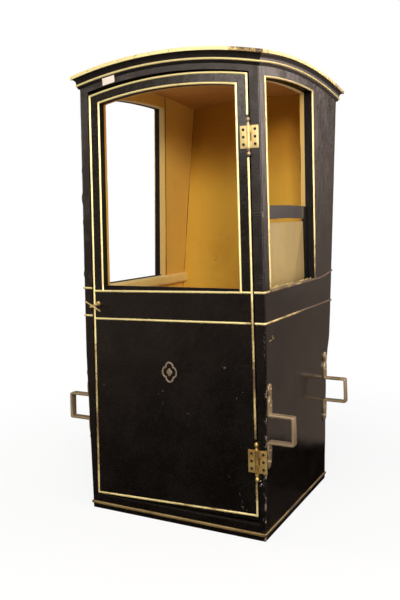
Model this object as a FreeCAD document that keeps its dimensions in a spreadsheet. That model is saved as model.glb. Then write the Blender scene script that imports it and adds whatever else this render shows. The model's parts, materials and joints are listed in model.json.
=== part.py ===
import FreeCAD, Part
import os
import re
import Sketcher

# Sedan chair: an upright one-seat cabin of leather over timber, with a door in front,
# a drop window on three sides, an arched roof and four iron brackets for two poles.
# Millimetres. +Z is up, the door faces -Y and is hung on the +X side. The origin is on the
# floor under the middle of the roof.

# Driving sizes. Set-backs are measured from the front face towards the rear.
SIZES = [
    # name, value, what it measures
    ("body_width", 720, "cabin across the side walls above the turn-under"),
    ("body_depth", 856, "cabin from front face to rear face, under the roof"),
    ("base_width", 684, "cabin across the side walls at the floor"),
    ("turn_height", 570, "height where the side walls become upright"),
    ("base_depth", 617, "front face to rear face at the floor"),
    ("tuck_foot", 412, "height where the rear starts to swell"),
    ("tuck_foot_depth", 629, "set-back of the rear face there"),
    ("tuck_bend", 525, "height where the swell reverses"),
    ("tuck_bend_depth", 653, "set-back there"),
    ("tuck_head", 606, "height where the swell ends"),
    ("tuck_head_depth", 679, "set-back there"),
    ("tuck_hollow", 330, "radius of the hollow lower half of the swell"),
    ("tuck_round", 390, "radius of the round upper half of the swell"),
    ("wall", 36, "timber and leather of a wall"),
    ("lining", 16, "padded lining on a wall"),
    ("post_depth", 53, "front post from front face to side window"),
    ("sill_height", 50, "top of the base frame and floor board"),
    ("floor_board", 20, "thickness of the floor board"),
    ("fit", 0.2, "clearance of a fitted piece"),
    ("door_gap", 5, "running gap round the door"),
    ("door_width", 640, "door leaf across"),
    ("door_sag", 10, "drop of the old door's latch side"),
    ("door_leaf", 26, "leaf without its lining"),
    ("door_lining", 14, "lining on the inside of the leaf"),
    ("door_stile", 47, "width of a door stile"),
    ("door_front", 9, "leather-covered board before the sash pocket"),
    ("door_pocket", 10, "sash pocket in the door panel"),
    ("stop_width", 14, "rebate that the door closes on"),
    ("eaves_height", 1591.5, "height of the roof's corners"),
    ("roof_arch", 1613, "radius of the front roof edge, on whose centre all front arches are"),
    ("door_drop", 77, "roof edge down to the door's head"),
    ("window_drop", 120, "roof edge down to the head of the door's window"),
    ("side_arch", 2825, "radius of the side roof edge"),
    ("side_window_drop", 88, "side roof edge down to the head of a side window"),
    ("roof_overhang", 28, "roof edge beyond the walls"),
    ("roof_board", 13, "thickness of the roof board"),
    ("edge_strip", 3, "thickness of the nailed strip round the roof edge"),
    ("roof_clear", 120, "how far tool blocks reach above the roof corner"),
    ("cove_reach", 20, "overhang of the cove at its top"),
    ("cove_foot", 10, "overhang of the cove at its foot"),
    ("cove_drop", 33, "roof edge down to the foot of the cove"),
    ("cove_hollow", 20, "radius of the cove"),
    ("seat_reach", 8, "overhang of the seat of the cornice bead"),
    ("bead_drop", 41, "roof edge down to the foot of the cornice bead"),
    ("bead_slope", 1.5, "width of the cornice bead's sloped corners"),
    ("ovolo_foot", 3, "overhang of the lowest moulding at its foot"),
    ("cornice_drop", 51, "roof edge down to the foot of the cornice"),
    ("ovolo_round", 16, "radius of the lowest moulding"),
    ("mitre_reach", 60, "length of a mitre cut each way from a wall corner"),
    ("bead", 8, "width of a gilt bead"),
    ("bead_rise", 4.5, "how far a bead stands proud"),
    ("plinth_line", 21, "height of the plinth bead"),
    ("waist_low", 707, "height of the lower waist bead"),
    ("waist_high", 808, "height of the upper waist bead"),
    ("waist_lift", 20, "rise of the upper waist bead at the rear edge"),
    ("lift_radius", 1150, "radius of that rise"),
    ("window_foot_depth", 503, "rear edge of a side window at its foot"),
    ("window_head_depth", 530, "rear edge of a side window at its head"),
    ("pocket", 12, "sash pocket in a side panel"),
    ("pocket_face", 20, "side face down to the pocket at the sill"),
    ("pocket_foot", 70, "height of the bottom of the pocket"),
    ("sash", 10, "thickness of a sash"),
    ("sash_height", 740, "a sash from foot to top"),
    ("sash_rail", 47, "width of a sash rail"),
    ("sash_side", 40, "width of a sash side"),
    ("glass", 4, "thickness of the glass"),
    ("right_sash_top", 1095, "top of the half-lowered right sash"),
    ("lowered_top", 818, "top of a fully lowered sash"),
    ("ceiling_drop", 46, "roof top down to the ceiling lining"),
    ("ceiling", 12, "thickness of the ceiling lining"),
    ("seat_height", 430, "top of the seat board"),
    ("seat_board", 20, "thickness of the seat board"),
    ("seat_front", 255, "set-back of the front of the seat"),
    ("seat_panel", 18, "thickness of the seat's front panel"),
    ("cushion", 62, "height of the seat cushion"),
    ("cushion_gap", 4, "space round the cushion"),
    ("strap", 8.5, "thickness of a bracket's iron strap"),
    ("strap_width", 29, "width of a bracket's iron strap"),
    ("strap_reach", 446, "centre of the cabin to the outside of a bracket"),
    ("strap_top", 510, "tip of a bracket's upper leg"),
    ("loop_top", 412, "top of a bracket's loop"),
    ("loop_foot", 316, "foot of a bracket's loop"),
    ("strap_foot", 232, "tip of a bracket's lower leg"),
    ("front_strap", 5, "set-back of the front brackets"),
    ("rear_strap", 588, "set-back of the rear brackets"),
    ("hinge_height", 75, "length of a hinge leaf"),
    ("hinge_leaf", 33, "hinge axis to the far edge of a leaf"),
    ("hinge_plate", 2.5, "thickness of a hinge leaf"),
    ("hinge_out", 8, "hinge axis in front of the front face"),
    ("knuckle", 6.5, "radius of a hinge knuckle"),
    ("hinge_pin", 3, "radius of a hinge pin"),
    ("knuckle_gap", 0.4, "end play and bore play of a knuckle"),
    ("leaf_relief", 10, "hinge axis to a leaf where the other leaf's knuckle turns"),
    ("bead_cut", 1, "space between a hinge leaf and the bead cut for it"),
    ("finial", 7, "radius of a hinge's ball finial"),
    ("finial_neck", 3.2, "radius of the neck under a ball"),
    ("finial_stem", 11, "end of the barrel to the middle of the ball"),
    ("high_hinge", 1280, "foot of the upper hinge"),
    ("low_hinge", 220, "foot of the lower hinge"),
    ("latch_height", 752, "middle of the latch"),
    ("latch_set", 20, "door edge to the middle of the latch"),
    ("latch_rose", 9, "radius of the latch's rose"),
    ("rose_rise", 3, "thickness of the rose"),
    ("spindle", 3.5, "radius of the latch's spindle"),
    ("collar", 6.5, "radius of the ball on the spindle"),
    ("collar_out", 15, "front face to the middle of that ball"),
    ("latch_out", 37, "front face to the front of the latch's bar"),
    ("latch_bar", 8, "thickness and width of the bar"),
    ("bar_length", 70, "length of the bar"),
    ("bar_slope", 26, "slope of the bar in degrees"),
]

NAMES = {name for name, number, meaning in SIZES}
ROLES = {"XY": "XY_Plane", "XZ": "XZ_Plane", "YZ": "YZ_Plane"}

document = FreeCAD.newDocument("SedanChair")
sheet = document.addObject("Spreadsheet::Sheet", "Sizes")
for row, (name, number, meaning) in enumerate(SIZES, 1):
    sheet.set(f"A{row}", name)
    sheet.set(f"B{row}", str(number))
    sheet.set(f"C{row}", meaning)
    sheet.setAlias(f"B{row}", name)
document.recompute()

nodes = []


# --- places worked out from the sizes, as formulas of the sheet's names ---
half_width = "(body_width / 2)"
half_depth = "(body_depth / 2)"
front = "(-body_depth / 2)"
edge_x = f"({half_width} + roof_overhang)"
edge_y = f"({half_depth} + roof_overhang)"
door_edge = "(door_width / 2)"
jamb = f"({door_edge} + door_gap)"
door_foot = "(sill_height + door_gap + door_sag)"
door_back = f"({front} + door_leaf + door_lining)"
stop_face = f"({door_back} + door_gap)"
post_back = f"({front} + post_depth)"
window_side = f"({door_edge} - door_stile)"
sill_line = "(waist_high + bead / 2)"
skin = "(wall + lining)"
arch_centre = f"(eaves_height - sqrt(roof_arch ^ 2 - {edge_x} ^ 2))"
side_centre = f"(eaves_height - sqrt(side_arch ^ 2 - {edge_y} ^ 2))"
door_arch = "(roof_arch - door_drop)"
window_arch = "(roof_arch - window_drop)"
side_window_arch = "(side_arch - side_window_drop)"
crown = "(eaves_height + roof_clear)"
hinge_x = f"({door_edge} + door_gap / 4)"
hinge_y = f"({front} - hinge_out)"


def wall_x(height):
    """Half width of the cabin at a height: it turns under below turn_height."""
    slope = f"({half_width} - base_width / 2) / turn_height"
    return f"(base_width / 2 + {slope} * ({height}))"


def side_radius(reach, drop):
    """Radius on the side arch of a line that meets the front arch's line at the mitre."""
    height = f"({arch_centre} + sqrt((roof_arch - ({drop})) ^ 2 - ({half_width} + ({reach})) ^ 2))"
    return f"sqrt(({height} - {side_centre}) ^ 2 + ({half_depth} + ({reach})) ^ 2)"


def full(formula):
    """The formula with each size's name made a reference to the sheet."""
    return re.sub(r"[a-z_]+", lambda word: "Sizes." + word[0] if word[0] in NAMES else word[0], formula)


def tie(thing, **formulas):
    """Bind properties to formulas; a double underscore in a name stands for a dot."""
    for name, formula in formulas.items():
        thing.setExpression(name.replace("__", "."), full(formula))
    return thing


def number(thing, formula):
    found = thing.evalExpression(full(formula))
    return float(getattr(found, "Value", found))


def keep(name, thing):
    """Name a finished sub-part; its label is the name of its file."""
    thing.Label = name
    nodes.append(thing)
    return thing


# --- ways of making a solid ---
def block(name, x, y, z):
    """A box between two formulas on each axis."""
    thing = document.addObject("Part::Box", name)
    (x_low, x_high), (y_low, y_high), (z_low, z_high) = x, y, z
    tie(thing, Placement__Base__x=x_low, Placement__Base__y=y_low, Placement__Base__z=z_low)
    return tie(thing, Length=f"({x_high}) - ({x_low})", Width=f"({y_high}) - ({y_low})",
               Height=f"({z_high}) - ({z_low})")


def draw(sketch, points):
    """Add one closed outline. A point is (across, up) or (across, up, radius), where the
    radius is of the arc to the next point: positive bulges to the left of the travel."""
    first = sketch.GeometryCount
    count = len(points)
    spots = [FreeCAD.Vector(number(sketch, p[0]), number(sketch, p[1]), 0) for p in points]
    starts = []
    for index, point in enumerate(points):
        here, there = spots[index], spots[(index + 1) % count]
        if len(point) == 2:
            sketch.addGeometry(Part.LineSegment(here, there), False)
            starts.append(1)
            continue
        radius = number(sketch, point[2])
        chord = there - here
        left = FreeCAD.Vector(-chord.y, chord.x, 0).normalize() * (1 if radius > 0 else -1)
        height = abs(radius) - (radius ** 2 - chord.Length ** 2 / 4) ** 0.5
        middle = (here + there) * 0.5 + left * height
        # A sketch keeps its arcs anticlockwise, so one that bulges left is drawn backwards.
        ends = (there, here) if radius > 0 else (here, there)
        sketch.addGeometry(Part.Arc(ends[0], middle, ends[1]), False)
        starts.append(2 if radius > 0 else 1)
    for index, point in enumerate(points):
        after = (index + 1) % count
        sketch.addConstraint(Sketcher.Constraint(
            "Coincident", first + index, 3 - starts[index], first + after, starts[after]))
    for index, point in enumerate(points):
        for kind, formula in (("DistanceX", point[0]), ("DistanceY", point[1])):
            rule = sketch.addConstraint(Sketcher.Constraint(
                kind, first + index, starts[index], number(sketch, formula)))
            sketch.setExpression(f"Constraints[{rule}]", full(formula))
        if len(point) == 3:
            rule = sketch.addConstraint(Sketcher.Constraint(
                "Radius", first + index, abs(number(sketch, point[2]))))
            sketch.setExpression(f"Constraints[{rule}]", full(f"abs({point[2]})"))


def start_body(name):
    body = document.addObject("PartDesign::Body", name)
    return body


def sketch_on(body, plane, loops, height="0", rise="0"):
    """A sketch on one of the body's own planes, moved along its normal by height and up
    in the plane by rise."""
    sketch = body.newObject("Sketcher::SketchObject", body.Name + "_sketch")
    origin = [part for part in body.Origin.OriginFeatures if part.Role == ROLES[plane]][0]
    sketch.AttachmentSupport = [(origin, "")]
    sketch.MapMode = "FlatFace"
    tie(sketch, AttachmentOffset__Base__z=height, AttachmentOffset__Base__y=rise)
    for points in loops:
        draw(sketch, points)
    return sketch


def slab(name, plane, loops, low, high, body=None):
    """Outlines on a plane made solid between two places along the plane's normal axis."""
    body = body or start_body(name)
    height = f"-({high})" if plane == "XZ" else low
    pad = body.newObject("PartDesign::Pad", name + "_pad")
    pad.Profile = sketch_on(body, plane, loops, height)
    tie(pad, Length=f"({high}) - ({low})")
    return body


def turned(name, plane, points, centre, angle):
    """An outline swung about a level axis at height centre, half the angle each way."""
    body = start_body(name)
    sketch = sketch_on(body, plane, [points], rise=centre)
    swing = body.newObject("PartDesign::Revolution", name + "_swing")
    swing.Profile = sketch
    swing.ReferenceAxis = (sketch, ["H_Axis"])
    swing.Midplane = True
    tie(swing, Angle=angle)
    return body


def lathe(name, points, x, y):
    """An outline of (radius, height) points spun about an upright axis."""
    body = start_body(name)
    sketch = sketch_on(body, "XZ", [points])
    spin = body.newObject("PartDesign::Revolution", name + "_spin")
    spin.Profile = sketch
    spin.ReferenceAxis = (sketch, ["V_Axis"])
    spin.Angle = 360
    tie(body, Placement__Base__x=x, Placement__Base__y=y)
    return body


def common(name, *parts):
    thing = document.addObject("Part::MultiCommon", name)
    thing.Shapes = list(parts)
    return thing


def fused(name, *parts):
    thing = document.addObject("Part::MultiFuse", name)
    thing.Shapes = list(parts)
    return thing


def gathered(name, *parts):
    """Solids of one sub-part that do not touch."""
    thing = document.addObject("Part::Compound", name)
    thing.Links = list(parts)
    return thing


def cut(name, base, tool):
    thing = document.addObject("Part::Cut", name)
    thing.Base = base
    thing.Tool = tool
    return thing


# --- envelopes that several pieces share ---
def front_outline(inset):
    """The front view of the cabin, drawn in by inset from the side walls."""
    foot = f"(base_width / 2 - {inset})"
    side = f"({half_width} - {inset})"
    return [(f"-{foot}", "0"), (foot, "0"), (side, "turn_height"), (side, crown),
            (f"-{side}", crown), (f"-{side}", "turn_height")]


def rear_line(inset):
    """The rear edge in the side view from floor to roof, drawn in by inset."""
    bends = [
        # set-back, height, radius to the next bend
        ("base_depth", "0", None),
        ("tuck_foot_depth", "tuck_foot", "tuck_hollow"),
        ("tuck_bend_depth", "tuck_bend", "-tuck_round"),
        ("tuck_head_depth", "tuck_head", None),
        ("body_depth", "eaves_height - roof_board", None),
        ("body_depth", crown, None),
    ]
    return [(f"{front} + {back} - ({inset})", up) + ((radius,) if radius else ())
            for back, up, radius in bends]


def side_outline(inset, start=front):
    """The side view of the cabin, drawn in by inset from the rear wall only."""
    return rear_line(inset) + [(start, crown), (start, "0")]


def roof_line(drop, reach):
    """Ends and radius of the roof's middle section, a drop below its top surface."""
    middle = f"sqrt(({arch_centre} + roof_arch - {side_centre}) ^ 2 + {edge_y} ^ 2)"
    edge = "side_arch"
    rise = f"({middle} - {edge})"
    radius = f"(({edge_x} ^ 2 + {rise} ^ 2) / (2 * {rise}))"
    end = f"({middle} - ({drop}) - {radius} + sqrt({radius} ^ 2 - ({reach}) ^ 2))"
    return end, radius


def roof_slab(name, top, bottom):
    """A doubly curved layer between two drops below the roof's top surface."""
    reach = f"({edge_x} + edge_strip)"
    high, radius = roof_line(top, reach)
    low, radius = roof_line(bottom, reach)
    points = [(f"-{reach}", low, radius), (reach, low), (reach, high, f"-{radius}"),
              (f"-{reach}", high)]
    return turned(name, "XZ", points, side_centre, roof_swing)


roof_swing = f"3 * asin({edge_y} / side_arch)"
wall_width = f"({half_width} + bead)"
outer_front = slab("outer_front", "XZ", [front_outline("0")], front, half_depth)
inner_front = slab("inner_front", "XZ", [front_outline("wall")], front, half_depth)
lined_front = slab("lined_front", "XZ", [front_outline(skin)], front, half_depth)
outer_side = slab("outer_side", "YZ", [side_outline("0")], f"-{wall_width}", wall_width)
inner_side = slab("inner_side", "YZ", [side_outline("wall")], f"-{wall_width}", wall_width)
lined_side = slab("lined_side", "YZ", [side_outline(skin)], f"-{wall_width}", wall_width)

under_end, under_radius = roof_line("(roof_board + fit)", wall_width)
under_roof = turned("under_roof", "XZ", [
    (f"-{wall_width}", f"-{side_centre}"), (wall_width, f"-{side_centre}"),
    (wall_width, under_end, f"-{under_radius}"), (f"-{wall_width}", under_end)],
    side_centre, "60")
wall_shell = cut("wall_shell", common("shell_outside", outer_front, outer_side, under_roof),
                 inner_front)
back_shell = cut("back_shell", common("back_outside", outer_front, outer_side, under_roof),
                 inner_side)

HINGES = [("high", "high_hinge"), ("low", "low_hinge")]
SIDES = [
    # name, low x and high x of that half
    ("left", f"-{wall_width}", "0"),
    ("right", "0", wall_width),
]


# --- base and floor ---
def make_base():
    floor_zone = (f"{front} + wall", half_depth)
    ring = common("base_ring", outer_front, outer_side,
                  block("base_layer", (f"-{half_width}", half_width), (front, half_depth),
                        ("0", "sill_height")))
    inside = common("base_inside", inner_front, inner_side,
                    block("base_hole", (f"-{half_width}", half_width), floor_zone,
                          ("-bead", "sill_height + bead")))
    keep("base_frame", cut("base_frame", ring, inside))
    keep("floor_board", common(
        "floor_board", inner_front, inner_side,
        block("floor_layer", (f"-{half_width}", half_width), floor_zone,
              ("sill_height - floor_board", "sill_height"))))


# --- corner posts ---
def make_posts():
    for name, sign in (("left", "-"), ("right", "")):
        section = [(jamb, front), (wall_width, front), (wall_width, post_back),
                   (f"{jamb} - stop_width", post_back), (f"{jamb} - stop_width", stop_face),
                   (jamb, stop_face)]
        if sign:
            section = [(f"-({across})", up) for across, up in section]
        column = slab(f"front_column_{name}", "XY", [section], "sill_height", crown)
        keep(f"front_post_{name}", common(f"front_post_{name}", column, outer_front, under_roof))
    corner = cut("rear_corner", cut("rear_band", common(
        "rear_outside", outer_front, outer_side, under_roof), lined_side), lined_front)
    for name, low, high in SIDES:
        keep(f"rear_post_{name}", common(
            f"rear_post_{name}", corner,
            block(f"rear_half_{name}", (low, high), (front, half_depth), ("sill_height", crown))))


# --- side walls ---
def window_opening(name, low, high, height_from=sill_line):
    """The opening of a side window as a solid across x, from a sill up to its arch."""
    head = f"({side_centre} + sqrt({side_window_arch} ^ 2 - ({post_back}) ^ 2))"
    rear = f"({front} + window_head_depth)"
    rear_head = f"({side_centre} + sqrt({side_window_arch} ^ 2 - {rear} ^ 2))"
    points = [(post_back, height_from), (f"{front} + window_foot_depth", height_from),
              (rear, rear_head, f"-{side_window_arch}"), (post_back, head)]
    return slab(name, "YZ", [points], low, high)


def make_side(name, low, high, sign):
    zone = f"{name}_wall"
    behind = (post_back, half_depth)
    wall = cut(f"{zone}_plain", common(f"{zone}_part", wall_shell, lined_side,
                                       block(f"{zone}_zone", (low, high), behind,
                                             ("sill_height", crown))), inner_front)
    opening = window_opening(f"{zone}_opening", low, high)
    lower = common(f"{zone}_lower", wall, block(f"{zone}_low", (low, high), behind,
                                                ("sill_height", sill_line)))
    inner = f"({half_width} - pocket_face - pocket)"
    outer = f"({half_width} - pocket_face)"
    pocket_x = (f"-{outer}", f"-{inner}") if sign else (inner, outer)
    pocket = block(f"{zone}_pocket", pocket_x, (post_back, f"{front} + window_foot_depth"),
                   ("pocket_foot", crown))
    keep(f"side_panel_{name}", cut(f"side_panel_{name}", lower, pocket))
    quarter_line = window_zone("quarter", name, low, high)
    keep(f"quarter_panel_{name}", common(f"quarter_panel_{name}", wall, quarter_line))
    above = cut(f"{zone}_above", wall, block(f"{zone}_up_to_sill", (low, high), behind,
                                             ("0", sill_line)))
    without = cut(f"{zone}_open", above, opening)
    keep(f"side_head_rail_{name}", cut(f"side_head_rail_{name}", without, quarter_line))


def window_zone(kind, name, low, high):
    """The rear quarter of a side wall: behind the window, up to the window's head."""
    rear = f"({front} + window_head_depth)"
    rear_head = f"({side_centre} + sqrt({side_window_arch} ^ 2 - {rear} ^ 2))"
    points = [(f"{front} + window_foot_depth", sill_line), (half_depth, sill_line),
              (half_depth, rear_head), (rear, rear_head)]
    return slab(f"{kind}_{name}", "YZ", [points], low, high)


# --- back wall and front head ---
def make_back():
    inside = common("back_between", back_shell, lined_front)
    levels = [("lower", "sill_height", "waist_high"), ("upper", "waist_high", crown)]
    for name, low, high in levels:
        keep(f"back_panel_{name}", common(
            f"back_panel_{name}", inside,
            block(f"back_level_{name}", (f"-{half_width}", half_width), ("0", half_depth),
                  (low, high))))


def arch_zone(name, radius, reach, low, high):
    """Everything above a front arch between two set-backs, as far across as reach."""
    height = f"({arch_centre} + sqrt({radius} ^ 2 - {reach} ^ 2))"
    points = [(reach, height, f"-{radius}"), (f"-{reach}", height), (f"-{reach}", crown),
              (reach, crown)]
    return slab(name, "XZ", [points], low, high)


def make_front_head():
    over_door = f"({door_arch} + door_gap)"
    face = arch_zone("head_face", over_door, jamb, front, stop_face)
    stop = arch_zone("head_stop", f"({over_door} - stop_width)", f"({jamb} - stop_width)",
                     stop_face, post_back)
    both = fused("head_both", face, stop)
    keep("front_head_rail", common("front_head_rail", both, under_roof))


# --- roof and cornice ---
def make_roof():
    layer = roof_slab("roof_layer", "0", "roof_board")
    board = (f"({edge_x} - edge_strip)", f"({edge_y} - edge_strip)")
    whole = block("roof_whole", (f"-{edge_x}", edge_x), (f"-{edge_y}", edge_y),
                  ("0", crown))
    inside = block("roof_inside", (f"-{board[0]}", board[0]), (f"-{board[1]}", board[1]),
                   ("0", crown))
    keep("roof_board", common("roof_dome", layer, inside))
    keep("roof_edge_strip", cut("roof_edge_strip", common("strip_layer", layer, whole), inside))
    reach = f"({half_width} - {skin} - fit)"
    ceiling = roof_slab("ceiling_layer", "ceiling_drop", "(ceiling_drop + ceiling)")
    keep("ceiling_lining", common(
        "ceiling_lining", ceiling, lined_side,
        block("ceiling_zone", (f"-{reach}", reach), (post_back, half_depth), ("0", crown))))


CORNICES = [
    # name, plane of its section, sign of its side
    ("front", "YZ", "-"), ("rear", "YZ", ""), ("left", "XZ", "-"), ("right", "XZ", ""),
]


def mitred(name, plane, sign, gap):
    """The space over one side of the cabin between two mitres, less a gap at each."""
    near, far = ("half_width", "half_depth") if plane == "YZ" else ("half_depth", "half_width")
    size = {"half_width": half_width, "half_depth": half_depth}
    plan = []
    for end, along in (("+", "-"), ("+", ""), ("-", ""), ("-", "-")):
        here = f"{along}({size[near]} {end} mitre_reach - {gap})"
        there = f"{sign}({size[far]} {end} mitre_reach)"
        plan.append((here, there) if plane == "YZ" else (there, here))
    return slab(name, "XY", [plan], "waist_high", crown)


def make_cornice():
    beads = []
    for name, plane, sign in CORNICES:
        across = half_depth if plane == "YZ" else half_width
        centre = arch_centre if plane == "YZ" else side_centre
        swing = f"3 * asin({edge_x} / roof_arch)" if plane == "YZ" else roof_swing

        def spot(reach, drop, bend=None):
            up = f"roof_arch - ({drop})" if plane == "YZ" else side_radius(reach, drop)
            turn = (f"-({bend})" if sign else bend,) if bend else ()
            return (f"{sign}({across} + {reach})", up) + turn

        moulding = turned(f"moulding_{name}", plane, [
            spot("0", "roof_board + fit"), spot("cove_reach", "roof_board + fit", "-cove_hollow"),
            spot("cove_foot", "cove_drop"), spot("seat_reach", "cove_drop"),
            spot("seat_reach", "bead_drop", "ovolo_round"),
            spot("ovolo_foot", "cornice_drop"), spot("0", "cornice_drop")], centre, swing)
        keep(f"cornice_{name}", common(
            f"cornice_{name}", moulding, mitred(f"mitre_{name}", plane, sign, "0")))
        bead = turned(f"cornice_bead_{name}", plane, [
            spot("seat_reach + fit", "cove_drop + fit"),
            spot("seat_reach + bead_rise", "cove_drop + bead_slope"),
            spot("seat_reach + bead_rise", "bead_drop - bead_slope"),
            spot("seat_reach + fit", "bead_drop")], centre, swing)
        beads.append(common(f"bead_length_{name}", bead,
                            mitred(f"bead_mitre_{name}", plane, sign, "fit")))
    keep("cornice_bead", gathered("cornice_bead", *beads))


# --- beads on the cabin ---
def ring_bead(name, height, depth, width):
    """A bead round the cabin at a height where it is so deep and wide."""
    def plan(grow):
        side, back = f"({width} + {grow})", f"({front} + {depth} + {grow})"
        return [(f"-{side}", f"{front} - {grow}"), (side, f"{front} - {grow}"),
                (side, back), (f"-{side}", back)]
    return slab(name, "XY", [plan("bead_rise"), plan("0")],
                f"{height} - bead / 2", f"{height} + bead / 2")


def make_cabin_beads():
    foot = wall_x("plinth_line + bead / 2")
    slope = "((tuck_foot_depth - base_depth) / tuck_foot)"
    foot_depth = f"(base_depth + {slope} * (plinth_line + bead / 2))"
    keep("plinth_bead", ring_bead("plinth_bead", "plinth_line", foot_depth, foot))
    rake = "((body_depth - tuck_head_depth) / (eaves_height - roof_board - tuck_head))"
    low_depth = f"(tuck_head_depth + {rake} * (waist_low + bead / 2 - tuck_head))"
    doorway = block("waist_doorway", (f"-{jamb}", jamb), (f"{front} - bead", post_back),
                    ("0", crown))
    ring = ring_bead("waist_ring", "waist_low", low_depth, half_width)
    keep("waist_bead", cut("waist_bead", ring, doorway))
    lifted = "(waist_high + waist_lift)"
    back_depth = f"(tuck_head_depth + {rake} * ({lifted} + bead / 2 - tuck_head))"
    back = (f"{front} + {back_depth}", f"{front} + {back_depth} + bead_rise")
    keep("back_bead", block("back_bead", (f"-{half_width}", half_width), back,
                            (f"{lifted} - bead / 2", f"{lifted} + bead / 2")))
    for name, sign in (("left", "-"), ("right", "")):
        make_window_bead(name, sign, back_depth)


def make_window_bead(name, sign, back_depth):
    """The bead round a side window, with the waist line that it stands on."""
    outside = (f"-({half_width} + bead_rise)", f"-{half_width}") if sign else (
        half_width, f"{half_width} + bead_rise")
    rear = f"({front} + window_head_depth)"
    foot = f"({front} + window_foot_depth)"

    def loop(grow):
        radius = f"({side_window_arch} + {grow})"
        front_edge, rear_edge = f"({post_back} - {grow})", f"({rear} + {grow})"
        return [(front_edge, f"{sill_line} - {grow}"), (f"{foot} + {grow}", f"{sill_line} - {grow}"),
                (rear_edge, f"{side_centre} + sqrt({radius} ^ 2 - {rear_edge} ^ 2)", f"-{radius}"),
                (front_edge, f"{side_centre} + sqrt({radius} ^ 2 - {front_edge} ^ 2)")]

    ring = slab(f"window_ring_{name}", "YZ", [loop("bead"), loop("0")], *outside)
    end = f"({front} + {back_depth})"
    low, high = "(waist_high - bead / 2)", "(waist_high + bead / 2)"
    lifted = "waist_lift"
    waist = slab(f"waist_run_{name}", "YZ", [[
        (f"{front} - bead_rise", low), (foot, low, "-lift_radius"), (end, f"{low} + {lifted}"),
        (end, f"{high} + {lifted}", "lift_radius"), (foot, high), (f"{front} - bead_rise", high)]],
        *outside)
    turn_x = (f"-({half_width} + bead_rise)", f"-{jamb}") if sign else (
        jamb, f"{half_width} + bead_rise")
    short = block(f"waist_turn_{name}", turn_x, (f"{front} - bead_rise", front), (low, high))
    keep(f"window_bead_{name}", fused(f"window_bead_{name}", ring, waist, short))


# --- linings, seat ---
def make_linings():
    reveal = block("lining_zone", (f"-{half_width}", half_width), (post_back, half_depth),
                   ("sill_height", crown))
    layer = cut("side_lining_layer", common("side_lining_full", inner_front, lined_side,
                                            under_roof, reveal), lined_front)
    for name, low, high in SIDES:
        half = block(f"lining_half_{name}", (low, high), (front, half_depth), ("0", crown))
        opening = window_opening(f"lining_opening_{name}", low, high)
        keep(f"lining_{name}", cut(f"lining_{name}", common(
            f"lining_plain_{name}", layer, half), opening))
    keep("lining_back", cut("lining_back", common(
        "back_lining_full", lined_front, inner_side, under_roof, reveal), lined_side))


def make_seat():
    room = slab("seat_room", "XZ", [front_outline(f"({skin} + fit)")], front, half_depth)
    seat_zone = (f"{front} + seat_front", half_depth)
    everywhere = (f"-{half_width}", half_width)
    keep("seat_board", common("seat_board", room, lined_side, block(
        "seat_layer", everywhere, seat_zone, ("seat_height - seat_board", "seat_height"))))
    keep("seat_front", common("seat_front", room, block(
        "seat_front_zone", everywhere,
        (f"{front} + seat_front + seat_panel", f"{front} + seat_front + 2 * seat_panel"),
        ("sill_height", "seat_height - seat_board"))))
    back = slab("cushion_back", "YZ", [side_outline(f"({skin} + cushion_gap)")],
                f"-{wall_width}", wall_width)
    side = f"({wall_x('seat_height')} - {skin} - cushion_gap)"
    keep("seat_cushion", common("seat_cushion", back, block(
        "cushion_zone", (f"-{side}", side), (f"{front} + seat_front", half_depth),
        ("seat_height", "seat_height + cushion"))))


# --- sashes ---
def make_sashes():
    front_edge = f"({post_back} + fit * 2)"
    rear_edge = f"({front} + window_foot_depth - fit * 2)"
    middle = f"({half_width} - pocket_face - pocket / 2)"
    thick = (f"{middle} - sash / 2", f"{middle} + sash / 2")
    foot = "(right_sash_top - sash_height)"
    frame = block("sash_blank", thick, (front_edge, rear_edge), (foot, "right_sash_top"))
    light_y = (f"{front_edge} + sash_side", f"{rear_edge} - sash_side")
    light_z = (f"{foot} + sash_rail", "right_sash_top - sash_rail")
    keep("sash_right", cut("sash_right", frame, block("sash_light", thick, light_y, light_z)))
    keep("sash_glass_right", block(
        "sash_glass_right", (f"{middle} - glass / 2", f"{middle} + glass / 2"), light_y, light_z))
    keep("sash_left", block(
        "sash_left", (f"-({thick[1]})", f"-({thick[0]})"), (front_edge, rear_edge),
        ("lowered_top - sash_height", "lowered_top")))
    reach = f"({window_side} - fit)"
    pocket = f"({front} + door_front)"
    keep("door_sash", block(
        "door_sash", (f"-{reach}", reach), (f"{pocket} + fit", f"{pocket} + door_pocket - fit"),
        ("pocket_foot + fit + sash_rail / 2", "lowered_top")))


# --- pole brackets ---
def make_brackets():
    """Each is a strap bent to a square loop, with a leg up and a leg down the wall."""
    top, foot = wall_x("strap_top"), wall_x("strap_foot")
    loop = [
        (top, "strap_top"), (f"{top} + strap", "strap_top"),
        (f"{wall_x('loop_top')} + strap", "loop_top"), ("strap_reach", "loop_top"),
        ("strap_reach", "loop_foot"), (f"{wall_x('loop_foot')} + strap", "loop_foot"),
        (f"{foot} + strap", "strap_foot"), (foot, "strap_foot"),
        (wall_x("loop_foot + strap"), "loop_foot + strap"),
        ("strap_reach - strap", "loop_foot + strap"), ("strap_reach - strap", "loop_top - strap"),
        (wall_x("loop_top - strap"), "loop_top - strap")]
    for end, back in (("front", "front_strap"), ("rear", "rear_strap")):
        for name, sign in (("left", "-"), ("right", "")):
            points = [(f"-({across})", up) for across, up in loop] if sign else loop
            keep(f"pole_bracket_{end}_{name}", slab(
                f"pole_bracket_{end}_{name}", "XZ", [points], f"{front} + {back}",
                f"{front} + {back} + strap_width"))


# --- door ---
def sagged(across, height):
    """The height of a point of the door once its latch side has dropped."""
    return f"({height} - door_sag * ({door_edge} - ({across})) / door_width)"


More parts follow.
